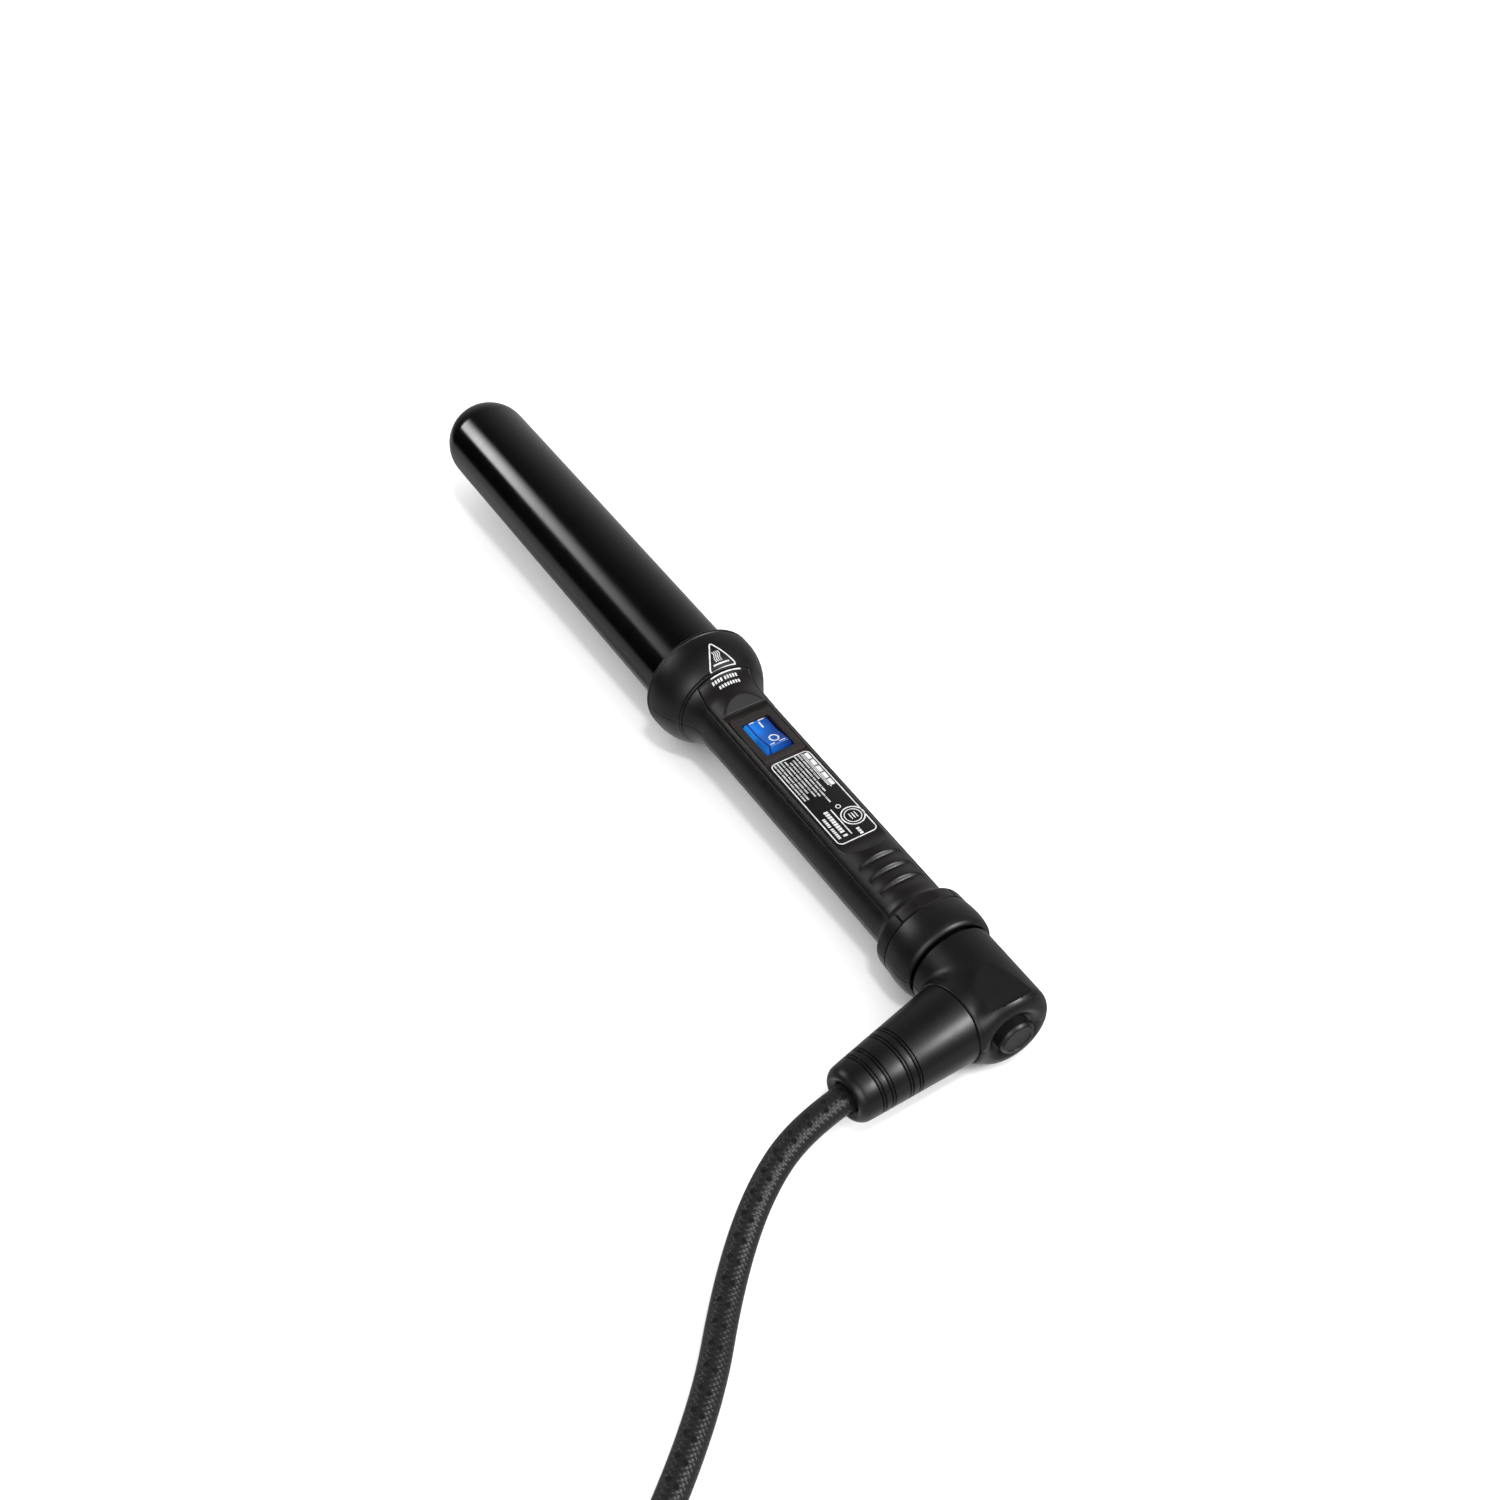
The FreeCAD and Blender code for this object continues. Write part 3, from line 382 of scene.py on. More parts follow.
class Finish(Tree):
    """A material's node tree. A colour is three display values or a socket."""

    def __init__(self, name):
        self.material = bpy.data.materials.new(name)
        self.material.use_nodes = True
        super().__init__(self.material.node_tree)
        self.shader = self.tree.nodes["Principled BSDF"]
        self.place = self.node("ShaderNodeTexCoord").outputs["Object"]

    def made(self, height=None, distance=0.0, **given):
        """The material, when its shader has its inputs and its bump."""
        for name, one in given.items():
            self.feed(self.shader.inputs[name.replace("_", " ")], one)
        if height is not None:
            bump = self.node("ShaderNodeBump", {"Height": height, "Distance": distance, "Strength": 1.0})
            self.feed(self.shader.inputs["Normal"], bump.outputs["Normal"])
        return self.material

    def stretched(self, *scale):
        return self.node("ShaderNodeMapping", {"Vector": self.place, "Scale": scale}).outputs["Vector"]

    def noise(self, scale, detail=3.0, roughness=0.5, place=None):
        inputs = {"Vector": place or self.place, "Scale": scale, "Detail": detail, "Roughness": roughness}
        return self.node("ShaderNodeTexNoise", inputs).outputs["Fac"]

    def mixed(self, factor, *colours):
        """A colour between two colours."""
        mix = self.node("ShaderNodeMix", {0: factor}, data_type="RGBA")
        for index, colour in zip((6, 7), colours):
            self.feed(mix.inputs[index], srgb(*colour) if isinstance(colour, tuple) else colour)
        return mix.outputs[2]

    def clouded(self, noise, dark, light, start=0.35, end=0.65):
        return self.mixed(self.between(noise, 0.0, 1.0, start, end), dark, light)

    def wear_and_highlight_edges(self, colour, wear_and_highlight_colour):
        """The colour with its sharp edges lighter, unevenly: wear, and on the cover strip also a painted
        highlight along the notch lips.
        """
        edge = self.between(self.node("ShaderNodeNewGeometry").outputs["Pointiness"], 0.0, 1.0, 0.53, 0.62)
        patchy = self.between(self.noise(180, 4), 0.2, 1.0, 0.4, 0.7)
        return self.mixed(self.times(edge, patchy), colour, wear_and_highlight_colour)


def moulded(name, dark, light, roughness, grain, depth, wear_and_highlight_colour=None, **more):
    """Moulded stuff: a slightly cloudy colour, an uneven sheen, a fine grain and lighter edges, from wear and
    on the cover also a painted highlight.
    """
    finish = Finish(name)
    colour = finish.clouded(finish.noise(35, 4), dark, light)
    if wear_and_highlight_colour:
        colour = finish.wear_and_highlight_edges(colour, wear_and_highlight_colour)
    sheen = finish.between(finish.noise(90, 5, 0.6), *roughness)
    return finish.made(finish.noise(grain, 2), depth, Base_Color=colour, Roughness=sheen, **more)


def brushed(name, dark, light, roughness):
    """Metal with fine drawn lines along one direction."""
    finish = Finish(name)
    drawn = finish.noise(60, 4, 0.6, finish.stretched(1, 40, 40))
    return finish.made(drawn, 0.00002, Base_Color=finish.clouded(drawn, dark, light), Metallic=1.0,
                       Roughness=finish.between(drawn, *roughness))


def ceramic():
    """The barrel's glossy black coat: nearly a mirror, with faint polishing rings and finger smears."""
    finish = Finish("ceramic_gloss")
    polish = finish.noise(25, 3, 0.5, finish.stretched(60, 2, 2))
    smear = finish.noise(28, 5, 0.65)
    gloss = finish.plus(finish.between(smear, 0.12, 0.18, 0.4, 0.7), finish.between(polish, -0.01, 0.02))
    return finish.made(polish, 0.0000015, Base_Color=finish.clouded(smear, (3, 3, 3), (5, 5, 5)),
                       Roughness=gloss, Specular_IOR_Level=0.45)


def blue_with_painted_glow():
    """The rocker's blue plastic with a painted glow, as if lit from below: brightest on the -Y side and the
    front half, deeper towards +Y and the tail end, with painted shade along the groove.
    """
    finish = Finish("blue_plastic_painted_glow")
    place = finish.node("ShaderNodeSeparateXYZ", {"Vector": finish.place})
    along, across = place.outputs["X"], place.outputs["Y"]
    # painted shade: the glow is dimmed along the groove at y = -3.3 mm
    seam = finish.math("ABSOLUTE", finish.plus(across, 0.0033))
    streaks = finish.noise(9, 3, 0.6, finish.stretched(30, 260, 30))
    # painted glow and shading: full on the -Y side and the front half, fading to nothing towards +Y and to
    # 0.55 at the tail end
    painted_glow = finish.times(finish.between(across, 1.0, 0.0, -0.0030, 0.0047),
                        finish.between(along, 1.0, 0.55, 0.0425, 0.0455),
                        finish.between(seam, 0.15, 1.0, 0.0002, 0.0005),
                        finish.between(streaks, 0.75, 1.15, 0.3, 0.7))
    return finish.made(finish.noise(900, 2), 0.000008,
                       # the base colour and the emission both follow the painted glow
                       Base_Color=finish.mixed(painted_glow, (2, 12, 46), (6, 48, 115)),
                       Emission_Color=finish.mixed(painted_glow, (2, 36, 130), (30, 150, 250)),
                       Emission_Strength=0.62,
                       Roughness=finish.between(finish.noise(400, 3), 0.22, 0.32), Specular_IOR_Level=0.35)


def braid():
    """A braided cord: crossing bundles of dark yarn, painted darker in the crevices between them, with small
    black flecks in two staggered rows.
    """
    finish = Finish("cord_braid")
    flat = finish.node("ShaderNodeSeparateXYZ", {"Vector": finish.node("ShaderNodeTexCoord").outputs["UV"]})
    round_way, along = flat.outputs["X"], flat.outputs["Y"]
    turn = 2 * math.pi * CORD_RADIUS
    bundles, bundles_per_mm = 12, 0.62
    sideways = finish.times(round_way, bundles / turn)
    ahead = finish.times(along, bundles_per_mm)
    leans = [finish.plus(sideways, ahead), finish.math("SUBTRACT", sideways, ahead)]
    weave = finish.times(*(finish.math("ABSOLUTE", finish.math("SINE", finish.times(lean, math.pi)))
                           for lean in leans))
    crossed = finish.node("ShaderNodeCombineXYZ", dict(zip("XY", leans))).outputs["Vector"]
    fibre = finish.noise(7, 3, 0.6, crossed)
    half_pitch = 3.15
    flecks = []
    for fleck_along, fleck_round in ((0.0, 5.9), (1.3, 8.4)):
        far = []
        for reach, start, half in ((round_way, fleck_round, turn / 2), (along, fleck_along, half_pitch)):
            off = finish.math("WRAP", finish.math("SUBTRACT", reach, start), half, -half)
            far.append(finish.times(off, off))
        flecks.append(finish.between(finish.math("SQRT", finish.plus(*far)), 1.0, 0.0, 0.75, 0.95))
    fleck = finish.math("MAXIMUM", *flecks)
    # painted shade: the grey is darkest in the crevices between bundles, where the weave's bump is lowest
    grey = finish.mixed(weave, (7, 7, 7), (24, 24, 24))
    grey = finish.clouded(fibre, grey, (18, 18, 18))
    return finish.made(finish.plus(weave, finish.times(fibre, 0.3)), 0.00010,
                       Base_Color=finish.mixed(fleck, grey, (0, 0, 0)), Sheen_Weight=0.02,
                       Roughness=finish.plus(finish.between(fibre, 0.36, 0.5), finish.times(fleck, 0.5)))


def white_ink_and_highlight():
    """White printed ink, a little thin in places; on the rocker's ends it also draws painted highlights."""
    finish = Finish("printed_ink_and_painted_highlight")
    thin = finish.noise(700, 4, 0.6)
    return finish.made(Base_Color=finish.clouded(thin, (150, 151, 152), (190, 190, 190), 0.3, 0.6),
                       Roughness=finish.between(thin, 0.4, 0.55))


# the material of each slot that a new piece takes its finish from
LOOKS = {
    "soft_touch_black": moulded("soft_touch_black", (8, 7, 7), (12, 11, 11), (0.36, 0.44), 2600, 0.000010,
                                (46, 45, 45)),
    # the cover's lighter edge colour is wear and also a painted highlight along the notch lips
    "cover_black": moulded("cover_brown_black", (12, 9, 9), (17, 13, 13), (0.34, 0.42), 2400, 0.000008,
                           (60, 57, 55)),
    "bezel_black": moulded("bezel_grey_brown", (30, 26, 24), (36, 30, 28), (0.5, 0.6), 3000, 0.000012,
                           (62, 57, 53)),
    "boot_rubber": moulded("boot_rubber", (9, 9, 9), (13, 13, 13), (0.34, 0.40), 1800, 0.000012),
    "label_print": moulded("label_black", (7, 7, 8), (11, 11, 12), (0.40, 0.5), 1500, 0.000004),
    "plug_vinyl": moulded("plug_vinyl", (28, 28, 29), (35, 35, 36), (0.4, 0.5), 1500, 0.00002, (52, 52, 53)),
    "tie_strap": moulded("tie_strap", (22, 22, 23), (30, 30, 31), (0.6, 0.75), 4000, 0.00006),
    "contact_brass": brushed("brass", (190, 158, 92), (214, 184, 120), (0.22, 0.34)),
    "barrel_ceramic": ceramic(),
    "rocker_blue": blue_with_painted_glow(),
    "cord_braid": braid(),
}
WHITE_INK_AND_HIGHLIGHT = white_ink_and_highlight()

# the pieces inside keep their CAD shapes, with finishes of their own
HIDDEN = (
    (LOOKS["contact_brass"],
     "switch_contact switch_terminals contact_ring_live contact_ring_neutral contact_brushes"),
    (brushed("screw_steel", (150, 150, 152), (190, 190, 192), (0.25, 0.38)),
     "barrel_screws handle_screws elbow_screws swivel_axle"),
    (brushed("spring_steel", (120, 122, 126), (165, 167, 170), (0.28, 0.4)),
     "spreader_spring thermal_fuse axle_retaining_ring"),
    (brushed("aluminium", (170, 172, 175), (205, 206, 208), (0.3, 0.42)),
     "heat_spreader_upper heat_spreader_lower"),
    (moulded("heater_ceramic", (150, 132, 112), (176, 158, 138), (0.6, 0.75), 900, 0.00004), "ptc_heater"),
    (moulded("polyimide_film", (186, 106, 22), (210, 134, 40), (0.22, 0.34), 500, 0.00002),
     "heater_insulation"),
    (moulded("heatproof_plastic", (44, 40, 36), (58, 53, 48), (0.5, 0.62), 1200, 0.00003),
     "barrel_holder cord_clamp"),
    (moulded("lamp_glass", (190, 206, 220), (220, 230, 238), (0.06, 0.14), 400, 0.00001,
             Transmission_Weight=0.7), "switch_lamp"),
    (moulded("circuit_board", (16, 74, 40), (26, 96, 54), (0.32, 0.44), 700, 0.00003), "control_board"),
    (moulded("component_black", (24, 24, 26), (40, 40, 42), (0.35, 0.5), 900, 0.00002), "board_parts"),
    (moulded("lead_insulation", (168, 26, 22), (192, 40, 34), (0.35, 0.48), 900, 0.00001),
     "heater_leads supply_leads"),
    (moulded("insulator_white", (206, 203, 194), (226, 223, 215), (0.4, 0.55), 1200, 0.00002),
     "swivel_socket brush_carrier"),
    (LOOKS["cord_braid"], "cord_inner_end"),
)
for material, names in HIDDEN:
    for name in names.split():
        slots = frame["nodes"][name].data.materials
        slots.clear()
        slots.append(material)


# ---- cord, coil and tie

LEAN = math.radians(8.0)
OUTLET = Vector((math.sin(LEAN), -math.cos(LEAN), 0))
BOOT_X = 163.4
BOOT_END = 54.2
BOOT = WAND @ Matrix.Translation((BOOT_X * MM, 0, 0)) @ Matrix.Rotation(LEAN - math.pi / 2, 4, "Z")
COIL_CENTRE = Vector((334.3, -174.7, 0))
COIL_START = math.radians(210)
OUTER_TURN = 64.5
INNER_TURN = 34.0
TURN_PITCH = 8.5
LAYER_TURNS = (OUTER_TURN - INNER_TURN) / TURN_PITCH
CLIMB_TURNS = 0.25
POINTS_PER_TURN = 16


def coil_points():
    """The coil: inwards on the surface, up on the innermost turn, and outwards on top of the first layer."""
    points = []
    whole = 2 * LAYER_TURNS + CLIMB_TURNS
    count = int(whole * POINTS_PER_TURN)
    for i in range(1, count + 1):
        turns = whole * i / count
        inwards = min(turns, LAYER_TURNS)
        outwards = max(turns - LAYER_TURNS - CLIMB_TURNS, 0.0)
        climbed = min(max((turns - LAYER_TURNS) / CLIMB_TURNS, 0.0), 1.0)
        radius = OUTER_TURN - TURN_PITCH * inwards + TURN_PITCH * outwards
        radius /= math.cos(math.pi / POINTS_PER_TURN)
        around = COIL_START + 2 * math.pi * turns
        height = CORD_RADIUS + TURN_PITCH * climbed
        points.append(COIL_CENTRE + Vector((radius * math.cos(around), radius * math.sin(around), height)))
    return points


exit_point = WAND @ ((Vector((BOOT_X, 0, 0)) + OUTLET * BOOT_END) * MM) / MM
exit_direction = WAND.to_3x3() @ OUTLET
LEAVES = COIL_CENTRE + Vector((OUTER_TURN, 0, CORD_RADIUS + TURN_PITCH))
PLUG_HEIGHT = 7.5
PLUG_START = Vector((LEAVES.x, LEAVES.y + 79.7, PLUG_HEIGHT))
route = [
    exit_point,
    exit_point + exit_direction * 16.0,
    Vector((181.4, -88.0, 9.6)),
    Vector((197.8, -107.2, CORD_RADIUS)),
    Vector((226.0, -130.5, CORD_RADIUS)),
    Vector((256.5, -169.0, CORD_RADIUS)),
    Vector((278.5, -207.0, CORD_RADIUS)),
    *coil_points(),
    LEAVES + Vector((0, 20, 0)),
    Vector((LEAVES.x, LEAVES.y + 59.7, PLUG_HEIGHT)),
    PLUG_START,
]


def centreline(points):
    """Points evenly spaced along the smooth line that has the route's points as its control points."""
    curve = bpy.data.curves.new("cord_line", "CURVE")
    curve.dimensions = "3D"
    spline = curve.splines.new("NURBS")
    spline.points.add(len(points) - 1)
    for point, place in zip(spline.points, points):
        point.co = (*(place * MM), 1)
    spline.order_u = 3
    spline.use_endpoint_u = True
    spline.resolution_u = 16
    holder = placed("cord_line", curve)
    line = bpy.data.meshes.new_from_object(holder)
    found = np.array([vertex.co for vertex in line.vertices]) / MM
    bpy.data.objects.remove(holder)
    bpy.data.curves.remove(curve)
    bpy.data.meshes.remove(line)
    travelled = np.concatenate([[0], np.cumsum(np.linalg.norm(np.diff(found, axis=0), axis=1))])
    even = np.linspace(0, travelled[-1], int(travelled[-1] / 1.6) + 1)
    return np.stack([np.interp(even, travelled, found[:, i]) for i in range(3)], axis=1), even


def tube_round(line, travelled, radius, sides=28):
    """A tube's rings, doubled at a seam, and its UVs in millimetres: round the tube, and along it."""
    along = np.gradient(line, axis=0)
    along /= np.linalg.norm(along, axis=1)[:, None]
    side = np.cross(along[0], (0, 0, 1.0))
    angles = np.linspace(0, 2 * math.pi, sides + 1)
    rings = []
    for place, direction in zip(line, along):
        side = side - direction * (side @ direction)
        side /= np.linalg.norm(side)
        around = np.outer(np.cos(angles), side) + np.outer(np.sin(angles), np.cross(side, direction))
        rings.append(place + radius * around)
    uv = [np.stack([angles * radius, np.full(sides + 1, reach)], axis=1) for reach in travelled]
    return np.array(rings), np.concatenate(uv)


def make_cord(line, travelled):
    """The cord's tube, with a flat end at each end."""
    rings, uv = tube_round(line, travelled, CORD_RADIUS)
    vertices, faces = skinned(rings, closed_rows=False)
    sides = rings.shape[1] - 1
    ends = [list(range(sides)), [len(vertices) - 1 - i for i in range(sides)]]
    return add_piece("cord", (vertices, [face[::-1] for face in faces] + ends), "cord_braid", "cord_elbow",
                     ("mains_cord", "mains_cord_end", "cord_coil"), LEVEL, uv=uv)


def make_tie():
    """The strap round the coil: a flat band with rounded edges."""
    around = math.radians(100.0)
    outward = Vector((math.cos(around), math.sin(around), 0))
    heading = Vector((-math.sin(around), math.cos(around), 0))
    middle = COIL_CENTRE + outward * (INNER_TURN + OUTER_TURN) / 2 + Vector((0, 0, TURN_PITCH))
    half_width = (OUTER_TURN - INNER_TURN) / 2
    inner, outer = CORD_RADIUS - 0.05, CORD_RADIUS + 1.0
    half = 7.0
    edge = outer - 0.1
    section = [(-half, inner), (-half + 0.5, edge), (0, outer), (half - 0.5, edge), (half, inner)]
    sections = []
    for turn in np.arange(96) * 2 * math.pi / 96:
        out, up = math.cos(turn), math.sin(turn)
        corner_x, corner_z = np.sign(np.round((out, up), 9)) * (half_width, TURN_PITCH / 2)
        sections.append([middle + outward * (corner_x + reach * out) + heading * across
                         + Vector((0, 0, corner_z + reach * up)) for across, reach in section])
    sections = np.array(sections)
    sections[:, :, 2] = np.maximum(sections[:, :, 2], 0.0)
    shape = skinned(sections, closed_ends=True)
    return add_piece("coil_tie", shape, "tie_strap", "cord_elbow", ("cord_tie",), LEVEL)


line, travelled = centreline(route)
cord = make_cord(line, travelled)
tie = make_tie()


# ---- plug

def plug_field(x, y, z):
    """A moulded plug on its flat side: ribbed sleeve, waisted body with rounded edges, finger grooves."""
    sleeve = np.hypot(y, z) - (5.6 + 1.3 * x / 30)
    ribs = 0.35 * np.maximum(np.cos(2 * math.pi * x / 3.0), 0) ** 2
    sleeve = sleeve + np.where((x > 4) & (x < 27), ribs, 0)
    sleeve = np.maximum(sleeve, np.maximum(-x, x - 40))
    half = np.interp(x, [30, 34, 43, 52, 59, 62], [7.6, 9.2, 10.6, 11.6, 11.9, 11.2])
    body = soft_max(np.abs(y) - half, np.abs(z) - 7.4, 3.0)
    body = soft_max(body, np.maximum(30.5 - x, x - 61.9), 1.6)
    grip = 0.5 * np.maximum(np.cos(2 * math.pi * (x - 50) / 3.2), 0) ** 3
    body = body + np.where((x > 41) & (x < 56), grip * np.clip((np.abs(y) - half + 2.5) / 2.5, 0, 1), 0)
    return soft_min(sleeve, body, 1.2)


def make_plug():
    *shape, normals = sculpted(plug_field, (-0.5, -12.5, -7.5), (62.5, 12.5, 7.5), 0.5)
    lying = Matrix.Translation(PLUG_START * MM) @ Matrix.Rotation(math.pi / 2, 4, "Z")
    body = add_piece("plug", shape, "plug_vinyl", "cord_elbow", ("plug_body",), lying, normals=normals)

    blade = outline([(61, -3.15), (79.0, -3.15, 0, 0.6), (79.5, -2.2, 0, 0.5),
                     (79.5, 2.2, 0, 0.5), (79.0, 3.15, 0, 0.6), (61, 3.15)])
    blades = []
    for side in (-6.35, 6.35):
        rows = []
        for across, depth in ((-0.75, 0.25), (-0.55, 0.0), (0.55, 0.0), (0.75, 0.25)):
            edge = inset(blade, depth) if depth else blade
            rows.append(np.stack([edge[:, 0], np.full(len(edge), side + across), edge[:, 1]], axis=1))
        blades.append(skinned(rows))
    shape = joined(blades)
    return body, add_piece("plug_pins", shape, "contact_brass", "cord_elbow", ("plug_blades",), lying)


plug, pins = make_plug()


# ---- barrel

BARREL = [
    (12.0, 15.7, 0, 0.2), (-0.5, 15.7, 0, 0.05), (-0.5, 16.0, 0, 0.08), (-161.2, 16.0), (-177.2, 0.0, 16.0),
    (-175.6, 0.0), (-161.2, 14.4, -14.4), (12.0, 14.4),
]
lathe("barrel_shell", BARREL, "barrel_ceramic", "wand", ("barrel",), step=1.5)


# ---- guard, handle and collar

SEAM_X = 16.2
GRIP_INSIDE = 10.6
COVER_HALF = 9.4
COVER_GAP_SIDE = 9.68
SCREWS_X = (59.5, 117.5)
RIM_ARC_START = (4.0, 20.5)
SHOULDER = (15.0, 16.62)
GUARD_ARC = 19

GUARD = [
    (0, 16.1, 0, 0.2), (0, 19.6), (0.9, 20.5, -0.9),
    (1.45, 20.5, 0, 0.12), (1.75, 20.1, 0, 0.15), (2.05, 20.5, 0, 0.12),
    (*RIM_ARC_START, 0, 0.4), (*SHOULDER, -GUARD_ARC),
    (15.1, 16.2, 0, 0.05), (15.3, 16.15, 0, 0.05), (15.42, 16.42, 0, 0.08), (15.95, 16.15, 0, 0.15),
    (15.95, 12.1), (14.1, 12.1), (14.1, 15.2), (12.0, 16.2), (8.0, 18.2), (3.0, 18.2), (3.0, 16.1),
]
GRIP_OUTSIDE = [
    (16.3, 16.0, 0, 0.2), (24.7, 13.0, 13.0, 1.0), (33.0, 12.75, 0, 2.0), (126.6, 12.45, 0, 1.2),
    (129.7, 14.25, 3.6), (131.9, 15.45, -2.5, 0.5), (135.0, 15.55, 0, 0.15),
]
GRIP = GRIP_OUTSIDE + [(135.0, GRIP_INSIDE), (16.3, GRIP_INSIDE)]
COLLAR = [
    (135.3, 12.3), (135.3, 15.5, 0, 0.25), (140.7, 16.0, -41), (144.8, 15.6, -22, 0.6),
    (146.4, 14.4, -2.6, 0.2), (146.4, 13.9, 0, 0.1), (142.6, 13.9), (142.6, 12.3),
]


def carved(piece, cutters):
    """Take some solids out of a piece, exactly, and leave no modifier behind."""
    for cutter in cutters:
        step = piece.modifiers.new("carve", "BOOLEAN")
        step.operation = "DIFFERENCE"
        step.solver = "EXACT"
        step.object = cutter
    shape = bpy.data.meshes.new_from_object(piece.evaluated_get(bpy.context.evaluated_depsgraph_get()))
    piece.modifiers.clear()
    old, piece.data = piece.data, shape
    bpy.data.meshes.remove(old)
    for cutter in cutters:
        bpy.data.objects.remove(cutter)


def well_cutter(x, y, z, radius, depth, body):
    """A stepped round cutter for a screw's well, from below."""
    angles = np.radians(np.arange(0, 360, 10))
    rings = []
    for at, wider in ((-3, 0.25), (0.15, 0.25), (0.35, 0.0), (depth, 0.0)):
        out = (radius + wider) * np.stack([np.cos(angles), np.sin(angles), 0 * angles], axis=1)
        rings.append(out + (x, y, z + at))
    return add_piece("well_cutter", skinned(rings), "soft_touch_black", body)


def make_halves(part, corners):
    for half, start in (("upper", 0), ("lower", 180)):
        lathe(part + "_" + half + "_half", corners, "soft_touch_black", "wand", (part + "_" + half,), start)


def make_handle():
    lower = lathe("handle_lower_half", GRIP, "soft_touch_black", "wand", ("handle_lower_shell",), 180)
    carved(lower, [well_cutter(x, 0, -12.6, 2.1, 1.3, "wand") for x in SCREWS_X])

    # the two upper walls end where the cover strip starts, as far from the middle all along, and two bars
    # under the strip join them
    edge = outline(GRIP)
    reach = np.arccos(COVER_GAP_SIDE / np.maximum(edge[:, 1], COVER_GAP_SIDE + 0.1))
    stations = part_turn(edge, 0.0, reach, 20)
    walls = [skinned(swept(edge, stations, mirror), cap=filled(edge)) for mirror in (1, -1)]
    for x in SCREWS_X:
        rows = []
        for z, depth in ((5.9, 0.3), (6.2, 0.0), (7.2, 0.0), (7.5, 0.3)):
            a, b = 4.0 - depth, COVER_HALF - depth
            rows.append([(x - a, -b, z), (x + a, -b, z), (x + a, b, z), (x - a, b, z)])
        walls.append(skinned(rows))
    add_piece("handle_upper_walls", joined(walls), "soft_touch_black", "wand", ("handle_upper_shell",))


make_halves("guard", GUARD)
make_handle()
make_halves("collar", COLLAR)


# ---- top cover

FLAT_Z = 9.7
UNDERSIDE_Z = 7.7
FACET_START = (25.8, 13.05)
FACET_SLOPE = 0.602
STEP_X = 30.2
HOLE_X = (32.85, 56.15)
HOLE_Y = 8.05
NOTCHES = (108.5, 114.1, 119.8)
grip_line = outline(GRIP_OUTSIDE + [(135.2, 0), (16.0, 0)])
grip_line = grip_line[grip_line[:, 1] > 12]
grip_line = grip_line[np.argsort(grip_line[:, 0])]


def grip_radius(x):
    """The handle's outside radius along the axis."""
    return np.interp(x, *grip_line.T)


def deck(x):
    """The height that the cover's top is cut down to along the axis, under the round of the handle."""
    facet = FACET_START[1] - FACET_SLOPE * (np.minimum(x, STEP_X) - FACET_START[0])
    step = np.clip((x - STEP_X) / 0.3, 0, 1)
    rising = np.interp(x, [99, 100, 101, 102, 103, 104, 105, 105.5, 107],
                       [FLAT_Z, 9.78, 10.0, 10.35, 10.85, 11.5, 12.3, 12.9, 15])
    height = np.where(x < 60, facet * (1 - step) + FLAT_Z * step, rising)
    return np.where(x < 25.0, 30.0, height)


def notch_depth(x, y):
    """How deep the three thumb notches are: a step at the front, a ramp out behind, fading to both sides."""
    depth = np.zeros(np.broadcast(x, y).shape)
    across = np.clip(1 - (y / 7.7) ** 2, 0, 1) ** 0.7
    for start in NOTCHES:
        into = np.clip((x - start + 0.1) / 1.3, 0, 1)
        into = into * into * (3 - 2 * into)
        out = np.clip(1 - (x - start - 1.2) / 4.1, 0, 1) ** 1.5
        depth = np.maximum(depth, 1.05 * across * into * out)
    return depth


def cover_top(x, y):
    """The height of the cover's upper face."""
    round_top = np.sqrt(np.maximum(grip_radius(x) ** 2 - y * y, 1.0))
    return soft_min(round_top, deck(x), 0.22) - notch_depth(x, y)


def sampled(*runs):
    """Places along some runs, each with its start, end and count."""
    return np.unique(np.concatenate([np.linspace(*run) for run in runs]).round(4))


